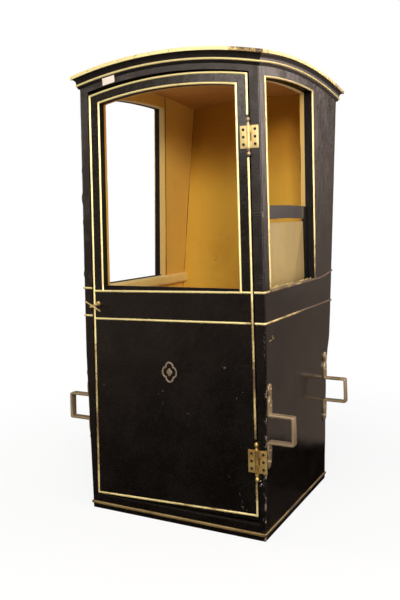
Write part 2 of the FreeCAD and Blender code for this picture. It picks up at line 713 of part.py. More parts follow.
def arched(side, radius, foot):
    """An outline with a level foot and an arched head, dropped with the door."""
    head = f"({arch_centre} + sqrt({radius} ^ 2 - {side} ^ 2))"
    left = f"(-{side})"
    return [(left, sagged(left, foot)), (side, sagged(side, foot)),
            (side, sagged(side, head), f"-{radius}"), (left, sagged(left, head))]


def door_loop(inset):
    return arched(f"({door_edge} - {inset})", f"({door_arch} - {inset})", f"({door_foot} + {inset})")


def window_loop(grow):
    return arched(f"({window_side} + {grow})", f"({window_arch} + {grow})", f"({sill_line} - {grow})")


def make_door():
    back = f"{front} + door_leaf"
    whole = slab("door_whole", "XZ", [door_loop("0")], front, back)
    left = f"(-{window_side})"
    for name, low, high in (("left", f"-{door_edge}", left), ("right", window_side, door_edge)):
        keep(f"door_stile_{name}", common(f"door_stile_{name}", whole, block(
            f"stile_{name}", (low, high), (front, back), ("sill_height", crown))))
    below = slab("door_below_window", "XZ", [[
        (left, "sill_height"), (window_side, "sill_height"),
        (window_side, sagged(window_side, sill_line)), (left, sagged(left, sill_line))]], front, back)
    pocket = block("door_sash_room", (left, window_side),
                   (f"{front} + door_front", f"{front} + door_front + door_pocket"),
                   ("pocket_foot + sash_rail / 2", crown))
    keep("door_panel", cut("door_panel", common("door_panel_whole", whole, below), pocket))
    above = slab("door_above_window", "XZ", [
        window_loop("0")[2:] + [(left, crown), (window_side, crown)]], front, back)
    keep("door_head_rail", common("door_head_rail", whole, above))
    inside = (back, f"{back} + door_lining")
    keep("door_lining", slab("door_lining", "XZ", [door_loop("0"), window_loop("0")], *inside))
    outside = (f"{front} - bead_rise", front)
    border = slab("door_border", "XZ", [door_loop("0"), door_loop("bead")], *outside)
    frame = slab("door_window_ring", "XZ", [window_loop("bead"), window_loop("0")], *outside)
    ends = (f"(-{door_edge})", door_edge)
    runs = []
    for place in ("waist_low", "waist_high"):
        corners = [(end, sagged(end, f"({place} {step} bead / 2)"))
                   for step, order in (("-", ends), ("+", ends[::-1])) for end in order]
        runs.append(slab(f"door_run_{place}", "XZ", [corners], *outside))
    beads = fused("door_beads_whole", border, frame, *runs)
    for name, foot in HINGES:
        ball = "(finial_stem + finial + bead_cut)"
        rooms = fused(f"hinge_room_{name}", block(
            f"leaf_room_{name}", (f"{hinge_x} - hinge_leaf - bead_cut", f"{hinge_x} + bead"),
            (f"{front} - bead", front),
            (f"{foot} - bead_cut", f"{foot} + hinge_height + bead_cut")), block(
            f"ball_room_{name}", (f"{hinge_x} - finial - bead_cut", f"{hinge_x} + bead"),
            (f"{front} - bead", front), (f"{foot} - {ball}", f"{foot} + hinge_height + {ball}")))
        beads = cut(f"door_beads_{name}", beads, rooms)
    keep("door_beads", beads)


# --- hinges and latch ---
def make_hinges():
    """Butt hinges: the post's leaf has the end knuckles, the pin and the ball finials."""
    plate = (f"{front} - hinge_plate", front)
    third = "(hinge_height / 3)"
    posts, doors = [], []
    for name, foot in HINGES:
        top = f"{foot} + hinge_height"
        lower_end = f"{foot} + {third} - knuckle_gap / 2"
        upper_end = f"{foot} + 2 * {third} + knuckle_gap / 2"
        far = f"{hinge_x} + hinge_leaf"
        relief = f"{hinge_x} + leaf_relief"
        posts.append(slab(f"post_leaf_{name}", "XZ", [[
            (hinge_x, foot), (far, foot), (far, top), (hinge_x, top), (hinge_x, upper_end),
            (relief, upper_end), (relief, lower_end), (hinge_x, lower_end)]], *plate))
        ball_foot = f"{foot} - finial_stem"
        ball_top = f"{top} + finial_stem"
        neck = "sqrt(finial ^ 2 - finial_neck ^ 2)"
        posts.append(lathe(f"barrel_{name}", [
            ("0", f"{ball_foot} - finial", "-finial"), ("finial_neck", f"{ball_foot} + {neck}"),
            ("knuckle", foot), ("knuckle", lower_end), ("hinge_pin", lower_end),
            ("hinge_pin", upper_end), ("knuckle", upper_end), ("knuckle", top),
            ("finial_neck", f"{ball_top} - {neck}", "-finial"), ("0", f"{ball_top} + finial")],
            hinge_x, hinge_y))
        near = f"{hinge_x} - leaf_relief"
        end = f"{hinge_x} - hinge_leaf"
        low, high = f"{foot} + {third} + knuckle_gap / 2", f"{foot} + 2 * {third} - knuckle_gap / 2"
        leaf = slab(f"door_leaf_{name}", "XZ", [[
            (end, foot), (near, foot), (near, low), (hinge_x, low), (hinge_x, high),
            (near, high), (near, top), (end, top)]], *plate)
        bore = "(hinge_pin + knuckle_gap / 2)"
        eye = lathe(f"door_eye_{name}", [(bore, low), ("knuckle", low), ("knuckle", high), (bore, high)],
                    hinge_x, hinge_y)
        doors.append(fused(f"door_hinge_{name}", leaf, eye))
    keep("post_hinge_leaves", fused("post_hinge_leaves", *posts))
    keep("door_hinge_leaves", fused("door_hinge_leaves", *doors))


def make_latch():
    """A handle across the end of a spindle, on the door's stile."""
    x = f"({door_edge} * -1 + latch_set)"
    along, wide = "(bar_length / 2)", "(latch_bar / 2)"
    corners = []
    for a, b in ((-1, -1), (1, -1), (1, 1), (-1, 1)):
        across = f"{x} + {a} * {along} * cos(bar_slope) + {b} * {wide} * sin(bar_slope)"
        up = f"latch_height - {a} * {along} * sin(bar_slope) + {b} * {wide} * cos(bar_slope)"
        corners.append((across, up))
    bar = slab("latch_handle", "XZ", [corners], f"{front} - latch_out",
               f"{front} - latch_out + latch_bar")
    rose = level_pin("latch_plate", x, "latch_rose", "rose_rise")
    stem = level_pin("latch_stem", x, "spindle", "(latch_out - latch_bar / 2)")
    ball = document.addObject("Part::Sphere", "latch_ball")
    tie(ball, Radius="collar", Placement__Base__x=x, Placement__Base__y=f"{front} - collar_out",
        Placement__Base__z="latch_height")
    keep("latch", fused("latch", rose, stem, ball, bar))


def level_pin(name, x, radius, length):
    """A round pin that stands out from the front face at the latch's height."""
    pin = document.addObject("Part::Cylinder", name)
    pin.Placement.Rotation = FreeCAD.Rotation(FreeCAD.Vector(1, 0, 0), 90)
    tie(pin, Radius=radius, Height=length)
    return tie(pin, Placement__Base__x=x, Placement__Base__y=front, Placement__Base__z="latch_height")


make_base()
make_posts()
for side, low_x, high_x in SIDES:
    make_side(side, low_x, high_x, side == "left")
make_back()
make_front_head()
make_roof()
make_cornice()
make_cabin_beads()
make_linings()
make_seat()
make_sashes()
make_brackets()
make_door()
make_hinges()
make_latch()

document.recompute()
for thing in document.Objects:
    if "Invalid" in thing.State or "Error" in thing.State:
        raise RuntimeError(f"{thing.Label} did not build: {thing.State}")
os.makedirs("parts", exist_ok=True)
for node in nodes:
    if node.Shape.isNull() or not node.Shape.isValid() or not node.Shape.Solids:
        raise RuntimeError(f"{node.Label} is not a valid solid")
for node in nodes:
    node.Shape.exportStep(f"parts/{node.Label}.step")
print(len(nodes), "sub-parts written")
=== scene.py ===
# %% [markdown]
# # A sedan chair, dressed piece by piece
# A sedan chair is a light timber cabin for one passenger. Leather is stretched over its
# boards, gilt beads cover the leather's edges, and silk lines the inside. The timber frame,
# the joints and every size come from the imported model, which stays as it is. This lesson adds
# what a coach maker would add last: skins, beads, brass, glass and silk.

# %% Load the frame
import json
from functools import partial

import bmesh
import bpy
import numpy as np
from mathutils import Matrix, Vector


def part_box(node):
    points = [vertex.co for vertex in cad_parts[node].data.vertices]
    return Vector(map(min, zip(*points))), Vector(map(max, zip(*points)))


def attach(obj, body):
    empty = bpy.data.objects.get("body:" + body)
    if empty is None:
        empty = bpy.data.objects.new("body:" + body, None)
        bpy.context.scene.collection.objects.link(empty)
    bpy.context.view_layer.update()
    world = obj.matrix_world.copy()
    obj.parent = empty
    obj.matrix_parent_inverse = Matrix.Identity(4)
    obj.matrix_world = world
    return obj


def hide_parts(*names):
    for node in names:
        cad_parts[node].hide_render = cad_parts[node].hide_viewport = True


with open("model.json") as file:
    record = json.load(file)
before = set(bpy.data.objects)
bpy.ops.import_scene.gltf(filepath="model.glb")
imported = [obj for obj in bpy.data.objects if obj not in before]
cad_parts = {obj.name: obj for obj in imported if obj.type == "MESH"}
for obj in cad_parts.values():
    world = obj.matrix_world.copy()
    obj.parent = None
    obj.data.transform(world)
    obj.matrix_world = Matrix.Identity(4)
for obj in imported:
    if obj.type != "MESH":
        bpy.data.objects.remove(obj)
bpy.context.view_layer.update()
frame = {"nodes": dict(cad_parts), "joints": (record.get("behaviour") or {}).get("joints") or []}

# %% [markdown]
# ## The chair's own sizes
# The boxes of the nodes say where each part is. A box can't say how strongly an arch bends,
# so the radii of the arches stand here as named values, in metres. Everything else is worked
# out from them. Z is up, the door faces -Y, and the hinges are on +X.

# %% Sizes
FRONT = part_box("front_post_left")[0][1]
REAR = -FRONT
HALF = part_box("side_head_rail_right")[1][0]
FOOT_HALF = 0.342
TURN = 0.570
WALL, LINING = 0.036, 0.016
SKIN_LINE = WALL + LINING
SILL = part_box("side_panel_right")[1][2]
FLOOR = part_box("base_frame")[1][2]
POST_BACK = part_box("front_post_left")[1][1]
EAVES, OVERHANG = 1.5915, 0.028
ROOF_ARCH, SIDE_ARCH = 1.613, 2.825
DOOR_DROP, PANE_DROP, WINDOW_DROP, TUCK = 0.077, 0.120, 0.088, 0.045
EDGE_X, EDGE_Y = HALF + OVERHANG, REAR + OVERHANG
ARCH_CENTRE = EAVES - np.sqrt(ROOF_ARCH ** 2 - EDGE_X ** 2)
SIDE_CENTRE = EAVES - np.sqrt(SIDE_ARCH ** 2 - EDGE_Y ** 2)
WINDOW_FOOT, WINDOW_HEAD = FRONT + 0.503, FRONT + 0.530
DOOR_EDGE, DOOR_SAG, DOOR_GAP = 0.320, 0.010, 0.005
PANE_EDGE = DOOR_EDGE - 0.047
JAMB = DOOR_EDGE + DOOR_GAP
DOOR_FOOT = FLOOR + DOOR_GAP + DOOR_SAG
WAIST_LOW, WAIST_HIGH, WAIST_LIFT = 0.707, 0.808, 0.020
BEAD, BEAD_RISE = 0.008, 0.0045
HIDE, THINNEST, HEM = 0.0012, 0.0004, 0.002
HINGE_X, HINGE_Y = frame["joints"][0]["pos_m"][:2]
UP, OUTWARD, SIDEWARD = np.array([0.0, 0, 1]), np.array([0.0, -1, 0]), np.array([1.0, 0, 0])
print("front", round(FRONT, 3), "half", HALF, "sill", SILL, "floor", FLOOR, "post back", POST_BACK)


def at(x, y, z):
    """Points from three coordinates, each a number or an array."""
    return np.stack(np.broadcast_arrays(x, y, z), -1).astype(float)


def unit(vectors):
    """Each vector brought to length one."""
    return vectors / (np.linalg.norm(vectors, axis=-1, keepdims=True) + 1e-12)


def circle(count):
    """Angles evenly round a circle."""
    return np.linspace(0, 2 * np.pi, count, endpoint=False)


def arc(start, end, radius, count):
    """Points of a circle's arc between two 2-D points. The bulge is to the left of the way
    there for a positive radius: the centre lies on the chord's perpendicular bisector."""
    start, end = np.array(start), np.array(end)
    chord = end - start
    length = np.hypot(*chord)
    left = np.array([-chord[1], chord[0]]) / length
    side = np.sign(radius)
    centre = (start + end) / 2 - side * left * np.sqrt(radius ** 2 - length ** 2 / 4)
    first, last = (np.arctan2(*(p - centre)[::-1]) for p in (start, end))
    turn = (last - first + np.pi) % (2 * np.pi) - np.pi
    angles = first + turn * np.linspace(0, 1, count)
    return centre + abs(radius) * np.stack([np.cos(angles), np.sin(angles)], -1)


rear_profile = np.concatenate([
    [(0.617, 0.0)], arc((0.629, 0.412), (0.653, 0.525), 0.330, 12),
    arc((0.653, 0.525), (0.679, 0.606), -0.390, 12)[1:], [(0.856, EAVES - 0.013), (0.856, 1.8)]])


def rear_y(z):
    """The rear wall's face at a height: the profile's set-back, counted from the front."""
    return FRONT + np.interp(z, rear_profile[:, 1], rear_profile[:, 0])


def wall_x(z):
    """Half the cabin's width at a height: a straight taper up to the turn, then upright."""
    return FOOT_HALF + (HALF - FOOT_HALF) * np.minimum(z, TURN) / TURN


def front_arch(x, drop):
    """Height of a front arch that lies a drop inside the roof's edge, on the same centre."""
    return ARCH_CENTRE + np.sqrt((ROOF_ARCH - drop) ** 2 - np.square(x))


def side_arch(y, reach, drop):
    """Height of a side arch that meets the front one at the mitre. Its radius is the
    distance from the side arches' centre to the meeting point."""
    meeting = front_arch(HALF + reach, drop) - SIDE_CENTRE
    return SIDE_CENTRE + np.sqrt(meeting ** 2 + (REAR + reach) ** 2 - np.square(y))


def window_head(y, grow=0.0):
    """The arch over a side window, or over a line that lies outside it by grow."""
    return SIDE_CENTRE + np.sqrt((SIDE_ARCH - WINDOW_DROP + grow) ** 2 - np.square(y))


def window_rear(z):
    """The window's rear edge, which leans back as it rises."""
    return np.interp(z, [SILL, window_head(POST_BACK)], [WINDOW_FOOT, WINDOW_HEAD])


def roof_top(x, y, drop):
    """The domed roof: at each x a circle round the side arches' level axis."""
    middle = np.hypot(ARCH_CENTRE + ROOF_ARCH - SIDE_CENTRE, EDGE_Y)
    rise = middle - SIDE_ARCH
    radius = (EDGE_X ** 2 + rise ** 2) / (2 * rise)
    reach = middle - drop - radius + np.sqrt(radius ** 2 - np.square(x))
    return SIDE_CENTRE + np.sqrt(reach ** 2 - np.square(y))


def sagged(x, z):
    """The door has dropped on its latch side: a shear from its hinges across to the latch."""
    return z - DOOR_SAG * (DOOR_EDGE - np.asarray(x)) / (2 * DOOR_EDGE)


# %% [markdown]
# ## The camera and the studio
# The camera stands a little above the window sills, towards the hinge side. Its turn is made
# from three unit vectors, because the camera also leans sideways by a degree and a half. The
# lens is shifted instead of tilted, so upright lines stay upright, as with a view camera.

# %% Camera
def placed(name, data):
    """A new object in the scene."""
    made = bpy.data.objects.new(name, data)
    bpy.context.scene.collection.objects.link(made)
    return made


AZIMUTH, ELEVATION, ROLL = np.radians([27.79, -0.27, -1.45])
STANDPOINT, SENSOR, LENS, SHIFT = (1.2425, -2.5365, 1.052), 36, 42.16, -0.14
back = np.array([np.sin(AZIMUTH) * np.cos(ELEVATION), -np.cos(AZIMUTH) * np.cos(ELEVATION),
                 np.sin(ELEVATION)])
level = np.cross(-back, [0, 0, 1])
level /= np.linalg.norm(level)
upward = np.cross(level, -back)
turn = np.stack([np.cos(ROLL) * level + np.sin(ROLL) * upward,
                 np.cos(ROLL) * upward - np.sin(ROLL) * level, back], axis=1)
camera = placed("camera", bpy.data.cameras.new("camera"))
camera.matrix_world = Matrix.Translation(STANDPOINT) @ Matrix(turn.tolist()).to_4x4()
camera.data.sensor_width, camera.data.lens, camera.data.shift_y = SENSOR, LENS, SHIFT
bpy.context.scene.camera = camera
bpy.context.scene.view_settings.view_transform = "Standard"

# %% [markdown]
# ## Nodes with less typing
# A material is a graph of nodes. `put` adds one and fills its inputs, either with a value or
# with the socket that feeds it, so a finish reads like a recipe. A node group is a recipe with
# named inputs that several finishes share.

# %% Helpers for materials
current = {"tree": None}


def fill(socket, value):
    """Feed a socket from another one, or give it a value."""
    if isinstance(value, bpy.types.NodeSocket):
        current["tree"].links.new(value, socket)
    else:
        socket.default_value = value


def put(kind, values=None, **settings):
    """Add a node to the current tree and fill its inputs."""
    made = current["tree"].nodes.new("ShaderNode" + kind)
    for name, value in settings.items():
        setattr(made, name, value)
    for name, value in (values or {}).items():
        fill(made.inputs[name], value)
    return made


def maths(operation, first, second, clamp=False):
    """One arithmetic step between two values or sockets."""
    return put("Math", {0: first, 1: second}, operation=operation, use_clamp=clamp).outputs[0]


def spread(value, low, high, start=0.0, end=1.0):
    """A value moved smoothly from low..high to start..end."""
    return put("MapRange", {0: value, 1: low, 2: high, 3: start, 4: end},
               interpolation_type="SMOOTHSTEP").outputs[0]


plus, times, minus, higher = (
    partial(maths, operation) for operation in ("ADD", "MULTIPLY", "SUBTRACT", "MAXIMUM"))


def mixed(share, first, second):
    """A colour between two colours."""
    first, second = ((*c, 1) if isinstance(c, tuple) else c for c in (first, second))
    return put("Mix", {0: share, 6: first, 7: second}, data_type="RGBA").outputs[2]


def noise(place, scale, detail=4.0, roughness=0.55, distortion=0.0):
    return put("TexNoise", {"Vector": place, "Scale": scale, "Detail": detail,
        "Roughness": roughness, "Distortion": distortion}).outputs[0]


def stretched(place, scale):
    """The same place with each axis drawn out or pressed together."""
    return put("Mapping", {"Vector": place, "Scale": scale}).outputs[0]


def object_place():
    return put("TexCoord").outputs["Object"]


def start_group(name, inputs, outputs):
    """A node group with float inputs (name, value) and outputs (name, kind)."""
    tree = current["tree"] = bpy.data.node_groups.new(name, "ShaderNodeTree")
    for label, value in inputs:
        socket = tree.interface.new_socket(label, in_out="INPUT", socket_type="NodeSocketFloat")
        socket.default_value = value
    for label, kind in outputs:
        tree.interface.new_socket(label, in_out="OUTPUT", socket_type="NodeSocket" + kind)
    return tree, tree.nodes.new("NodeGroupInput").outputs, tree.nodes.new("NodeGroupOutput").inputs


def use_group(group, **values):
    """Place a group in the current tree and fill its inputs."""
    made = current["tree"].nodes.new("ShaderNodeGroup")
    made.node_tree = group
    for name, value in values.items():
        fill(made.inputs[name], value)
    return made.outputs


# %% [markdown]
# ## Shared recipes
# Old hide has a pebbled grain, long shallow creases and, where it was pasted round a frame,
# fine ribs across, stronger in some patches than in others. Each is a texture at its own
# scale, and the sum is a height for a Bump node.

# %% Group: grain of the hide
hide_grain, given, out = start_group(
    "hide grain", [("Pebble", 0.5), ("Ribs", 0.0), ("Cracks", 0.0), ("Creases", 0.5)],
    [("Height", "Float")])
place = object_place()
pebble = put("TexVoronoi", {"Vector": place, "Scale": 420.0}).outputs[0]
crease = noise(place, 38.0, 6.0, 0.62, 0.6)
ribs, cracks = (put("TexWave", {
    "Vector": place, "Scale": 34.0, "Distortion": 9.0, "Detail": 5.0, "Detail Scale": 2.2,
    "Detail Roughness": 0.65}, bands_direction=direction).outputs[1] for direction in ("Z", "X"))
uneven = spread(noise(place, 16.0, 3.0), 0.36, 0.64, 0.1, 1.0)
ribs, cracks = times(ribs, uneven), times(cracks, uneven)
total = times(pebble, given["Pebble"])
for texture, amount in ((crease, "Creases"), (ribs, "Ribs"), (cracks, "Cracks")):
    total = plus(total, times(texture, given[amount]))
fill(out["Height"], total)

# %% [markdown]
# Wear isn't even. The skins carry two painted values on their points: `edge`, which is high
# along corners, and a second one, which is high where something struck them. On the silk the
# second one is high round the dimples instead, and there it is painted shade. Noise makes the
# outline of each worn place ragged.

# %% Group: wear
wear, given, out = start_group("wear", [("Edge", 0.0), ("Scuff", 0.0), ("Amount", 1.0)],
                               [("Mask", "Float")])
place = object_place()
ragged = plus(noise(place, 170.0, 5.0, 0.7), noise(place, 60.0, 3.0))
rubbed = spread(plus(times(given["Edge"], 0.75), ragged), 1.42, 1.54)
dashes = noise(stretched(place, (75.0, 75.0, 260.0)), 1.0, 3.0, 0.6)
struck = spread(plus(given["Scuff"], dashes), 1.06, 1.16)
either = higher(times(rubbed, given["Amount"]), struck)
fill(out["Mask"], either)

# %% [markdown]
# Dust settles on what faces upwards, and thins out where hands or cloths have been. The
# surface's own normal says which way it faces.

# %% Group: settled dust
dust, given, out = start_group("settled dust", [("Amount", 0.3)], [("Mask", "Float")])
upness = put("SeparateXYZ", {0: put("NewGeometry").outputs["Normal"]}).outputs[2]
patchy = noise(object_place(), 14.0, 5.0, 0.6)
settled = times(spread(upness, 0.3, 1.0), patchy)
fill(out["Mask"], times(settled, given["Amount"], clamp=True))

# %% [markdown]
# Silk is a plain weave of about two threads to the millimetre. Two waves crossed at right
# angles stand for warp and weft, thin slubs run along the weft, and stains are broad and soft.

# %% Group: silk weave
silk_weave, given, out = start_group(
    "silk weave", [("Threads", 1.0), ("Slubs", 0.4)], [("Height", "Float"), ("Stain", "Float")])
place = object_place()
total = None
for direction in ("Y", "Z"):
    thread = put("TexWave", {"Vector": place, "Scale": 310.0, "Distortion": 0.4},
                 bands_direction=direction).outputs[1]
    total = thread if total is None else times(total, thread)
slub = noise(stretched(place, (12.0, 12.0, 260.0)), 1.0, 3.0)
total = plus(times(total, given["Threads"]), times(slub, given["Slubs"]))
fill(out["Height"], total)
fill(out["Stain"], noise(place, 5.5, 5.0, 0.6, 0.8))

# %% [markdown]
# ## The finishes
# Each finish is one function that fills a material's nodes: a colour that varies, a roughness
# that varies, and a bump. The black hide goes on in five forms, because the front was kept
# blacked and polished, its posts show ribs and its frieze cracks, and the sides and the roof
# went grey.

# %% Hides
def new_material(name):
    """A new material, whose tree becomes the current one."""
    material = bpy.data.materials.new(name)
    material.use_nodes = True
    current["tree"] = material.node_tree
    return material, material.node_tree.nodes["Principled BSDF"]


def finish_inputs(shader, values):
    """Fill the shader's sockets by name."""
    for name, value in values.items():
        fill(shader.inputs[name], value)


def mix_to_output(share, first, second):
    """Send a mix of two shaders to the material's output."""
    both = put("MixShader", {0: share, 1: first.outputs[0], 2: second.outputs[0]})
    fill(current["tree"].nodes["Material Output"].inputs[0], both.outputs[0])


def bumped(height, distance, strength):
    return put("Bump", {"Height": height, "Distance": distance, "Strength": strength}).outputs[0]


def painted_value(name):
    return put("Attribute", attribute_name=name).outputs["Fac"]


def make_hide(name, dark, light, bare, gloss, grain, ribs=0.0,
              cracks=0.0, relief=0.0006, streaks=0.0, lift=0.0, strength=0.5):
    """Hide between two colours, with painted light: lighter and greyer by a share towards the
    roof, where light from above falls. Its gloss is a range of roughness, and its relief is how
    deep the grain is in metres."""
    material, shader = new_material(name)
    place = object_place()
    parts = put("SeparateXYZ", {0: place}).outputs
    cloud = noise(place, 7.0, 6.0, 0.6, 0.4)
    streak = noise(stretched(place, (70.0, 70.0, 2.2)), 1.0, 4.0)
    share = plus(spread(cloud, 0.36, 0.7), times(spread(streak, 0.45, 0.75), streaks))
    colour = mixed(share, dark, light)
    # Painted light: up towards the roof the colour is drawn by a share towards a lighter grey, as
    # where light from above falls.
    grey = spread(parts[2], 0.75, 1.5, 0.0, lift)
    colour = mixed(grey, colour, (0.105, 0.085, 0.083))
    worn = use_group(wear, Edge=painted_value("edge"), Scuff=painted_value("scuffs_and_shade"))["Mask"]
    colour = mixed(worn, colour, bare)
    dusty = use_group(dust, Amount=0.5)["Mask"]
    colour = mixed(dusty, colour, (0.16, 0.145, 0.125))
    fine = noise(place, 90.0, 5.0, 0.65)
    rough = spread(fine, 0.3, 0.75, *gloss)
    rough = higher(rough, times(worn, 0.8))
    relief_map = use_group(hide_grain, Pebble=grain[0], Creases=grain[1], Ribs=ribs,
                           Cracks=cracks)["Height"]
    height = minus(relief_map, times(worn, 0.8))
    finish_inputs(shader, {
        "Base Color": colour, "Roughness": rough, "Specular IOR Level": 0.5,
        "Specular Tint": (1.0, 0.95, 0.91, 1), "Normal": bumped(height, relief, strength)})
    return material


BLACKED = (0.0022, 0.0017, 0.0014), (0.0055, 0.0043, 0.0036)
CHIP = (0.10, 0.083, 0.068)
# In each form, lift sets how much lighter it is painted towards the roof: painted light from
# above.
front_hide = make_hide("blacked hide", *BLACKED, CHIP, ribs=0.10, lift=0.04, gloss=(0.20, 0.32),
                       grain=(0.15, 0.5), relief=0.0005)
post_hide = make_hide("ribbed hide", *BLACKED, CHIP, ribs=1.0, lift=0.12, gloss=(0.28, 0.42),
                      grain=(0.06, 0.2), relief=0.0010, strength=0.6)
frieze_hide = make_hide("cracked hide", *BLACKED, CHIP, cracks=1.0, lift=0.10, gloss=(0.28, 0.42),
                        grain=(0.06, 0.2), relief=0.0012, strength=0.7)
side_hide = make_hide("greyed hide", (0.0045, 0.0032, 0.0026), (0.014, 0.0102, 0.0084),
                      (0.24, 0.19, 0.13), gloss=(0.12, 0.24), grain=(0.12, 0.35), relief=0.0005,
                      streaks=0.6, lift=0.06)
roof_hide = make_hide("roof hide", (0.010, 0.008, 0.007), (0.026, 0.021, 0.018),
                      (0.15, 0.13, 0.11), gloss=(0.40, 0.65), grain=(0.3, 0.8))

# %% [markdown]
# ## Gilding
# The beads are water-gilded wood or thin stamped metal. Gold leaf is bright where it is
# whole, warm where the red clay shows, and brown where it has gone. A metallic shader with
# a worn mask gives all three.

# %% Gilding, brass and iron
def make_gilt(name, leaf, clay, wood, wornness, rough):
    material, shader = new_material(name)
    place = object_place()
    broad = noise(place, 9.0, 4.0, 0.6)
    fine = noise(place, 140.0, 5.0, 0.7)
    worn = plus(times(broad, 0.6), times(fine, 0.4))
    worn = plus(worn, painted_value("edge"))
    thin = spread(worn, 0.62 - wornness, 0.80 - wornness)
    gone = spread(worn, 0.74 - wornness, 0.84 - wornness)
    colour = mixed(gone, mixed(thin, leaf, clay), wood)
    finish_inputs(shader, {
        "Base Color": colour,
        "Metallic": minus(0.7, times(gone, 0.65)),
        "Roughness": spread(fine, 0.3, 0.75, *rough),
        "Normal": bumped(plus(fine, gone), 0.0003, 0.4)})
    return material


gilt = make_gilt("old gilding", (0.98, 0.86, 0.42), (0.44, 0.31, 0.12), (0.08, 0.05, 0.025), 0.05,
                 (0.40, 0.56))
dull_gilt = make_gilt("dull gilding", (0.42, 0.31, 0.13), (0.25, 0.16, 0.055),
                      (0.05, 0.035, 0.025), 0.10, (0.4, 0.7))
brass = make_gilt("lacquered brass", (0.70, 0.56, 0.26), (0.46, 0.34, 0.14),
                  (0.14, 0.09, 0.035), 0.09, (0.48, 0.65))
dark_brass = make_gilt("tarnished brass", (0.54, 0.40, 0.14), (0.33, 0.20, 0.045),
                       (0.10, 0.055, 0.012), 0.18, (0.38, 0.6))
rubbed = make_gilt("rubbed ornament", (0.24, 0.19, 0.135), (0.16, 0.12, 0.08),
                   (0.05, 0.037, 0.025), 0.12, (0.5, 0.75))
# Painted shade: a darker, duller copy of the old gilding for the beads of the side windows.
shaded_window_gilt = make_gilt("gilding of the side windows", (0.78, 0.66, 0.33), (0.40, 0.29, 0.12),
                        (0.08, 0.05, 0.025), 0.08, (0.52, 0.68))
bronzed_iron = make_gilt("bronzed iron", (0.36, 0.28, 0.17), (0.20, 0.14, 0.075),
                         (0.05, 0.034, 0.02), 0.13, (0.38, 0.6))

# %% [markdown]
# ## Timber, silk, glass and paper
# Painted timber shows its grain only as faint ridges. Silk has a soft sheen at grazing angles,
# which the shader's own sheen gives. The pane is clouded, so some of it scatters light.

# %% Timber, silk, glass, paper
def make_timber(name, dark, light, rough, specular=0.3, dusty=0.6):
    material, shader = new_material(name)
    place = object_place()
    grain = noise(stretched(place, (90.0, 9.0, 9.0)), 1.0, 6.0, 0.6, 0.5)
    colour = mixed(spread(grain, 0.3, 0.7), dark, light)
    colour = mixed(use_group(dust, Amount=dusty)["Mask"], colour, (0.2, 0.17, 0.13))
    finish_inputs(shader, {
        "Base Color": colour, "Roughness": rough, "Specular IOR Level": specular,
        "Normal": bumped(grain, 0.0005, 0.4)})
    return material


def make_silk(name, light, dark, stain_share=0.35, top_shade=0.0):
    material, shader = new_material(name)
    weave = use_group(silk_weave, Threads=0.6, Slubs=0.5)
    stained = spread(weave["Stain"], 0.50, 0.85, 0.0, stain_share)
    colour = mixed(stained, light, dark)
    height = put("SeparateXYZ", {0: object_place()}).outputs[2]
    # Painted shade: the silk is darkened towards the ceiling, where the roof keeps the light off
    # it.
    colour = mixed(spread(height, 1.12, 1.5, 0.0, top_shade), colour,
                   (dark[0], dark[1] * 0.8, dark[2] * 0.4))
    # Painted shade: the silk is darker where the painted value is high, round the dimples of old
    # tufts.
    colour = mixed(times(painted_value("scuffs_and_shade"), 0.6), colour, tuple(part * 0.5 for part in dark))
    thread = noise(stretched(object_place(), (30.0, 30.0, 420.0)), 1.0, 2.0)
    colour = mixed(spread(thread, 0.5, 0.8, 0.0, 0.18), colour,
                   tuple(min(1, part * 1.25) for part in light))
    finish_inputs(shader, {
        "Base Color": colour, "Roughness": 0.72, "Specular IOR Level": 0.25,
        "Sheen Weight": 0.25, "Sheen Roughness": 0.4,
        "Normal": bumped(weave["Height"], 0.0002, 0.35)})
    return material


black_paint = make_timber(
    "black paint", (0.004, 0.0032, 0.0028), (0.010, 0.008, 0.007), 0.5, 0.12, 0.15)
floor_wood = make_timber("old floor boards", (0.05, 0.032, 0.02), (0.13, 0.085, 0.05), 0.7)
bare_wood = make_timber("bare worn wood", (0.16, 0.10, 0.06), (0.34, 0.24, 0.15), 0.7)
silk = make_silk("ochre silk", (0.64, 0.375, 0.042), (0.42, 0.20, 0.014), top_shade=0.85)
# Painted light: a lighter copy of the ochre silk, with little painted shade at the top, for the
# side linings. It stands in for the light that comes in at the windows.
window_lit_silk = make_silk("ochre silk by the window", (0.76, 0.46, 0.070), (0.52, 0.26, 0.024),
                        top_shade=0.12)
cushion_silk = make_silk("cushion silk", (0.58, 0.30, 0.05), (0.30, 0.13, 0.02))
pale_silk = make_silk("faded silk", (0.84, 0.64, 0.22), (0.58, 0.38, 0.10), 0.35)
# Painted shade: the ochre silk coloured nearly black, for the inside of a fold.
fold_shade_silk = make_silk("silk in a fold", (0.10, 0.048, 0.012), (0.06, 0.026, 0.006))
tape = make_silk("woven tape", (0.54, 0.36, 0.115), (0.38, 0.23, 0.07), 0.2)

pane, shader = new_material("clouded pane")
cloudy = noise(object_place(), 12.0, 4.0, 0.6)
speck = noise(object_place(), 150.0, 3.0, 0.7)
veil = plus(spread(cloudy, 0.3, 0.8, 0.80, 0.90), spread(speck, 0.68, 0.76, 0.0, 0.08))
finish_inputs(shader, {
    "Base Color": (0.93, 0.90, 0.80, 1), "Transmission Weight": 1.0, "Roughness": 0.12,
    "IOR": 1.45})
bloom = put("BsdfDiffuse", {"Color": (0.70, 0.50, 0.215, 1)})
mix_to_output(veil, shader, bloom)

paper, shader = new_material("rag paper")
fibre = noise(object_place(), 260.0, 5.0, 0.7)
finish_inputs(shader, {
    "Base Color": mixed(spread(fibre, 0.35, 0.7), (0.66, 0.58, 0.50), (0.80, 0.74, 0.67)),
    "Roughness": 0.9, "Normal": bumped(fibre, 0.0002, 0.5)})
print("materials", len(bpy.data.materials))

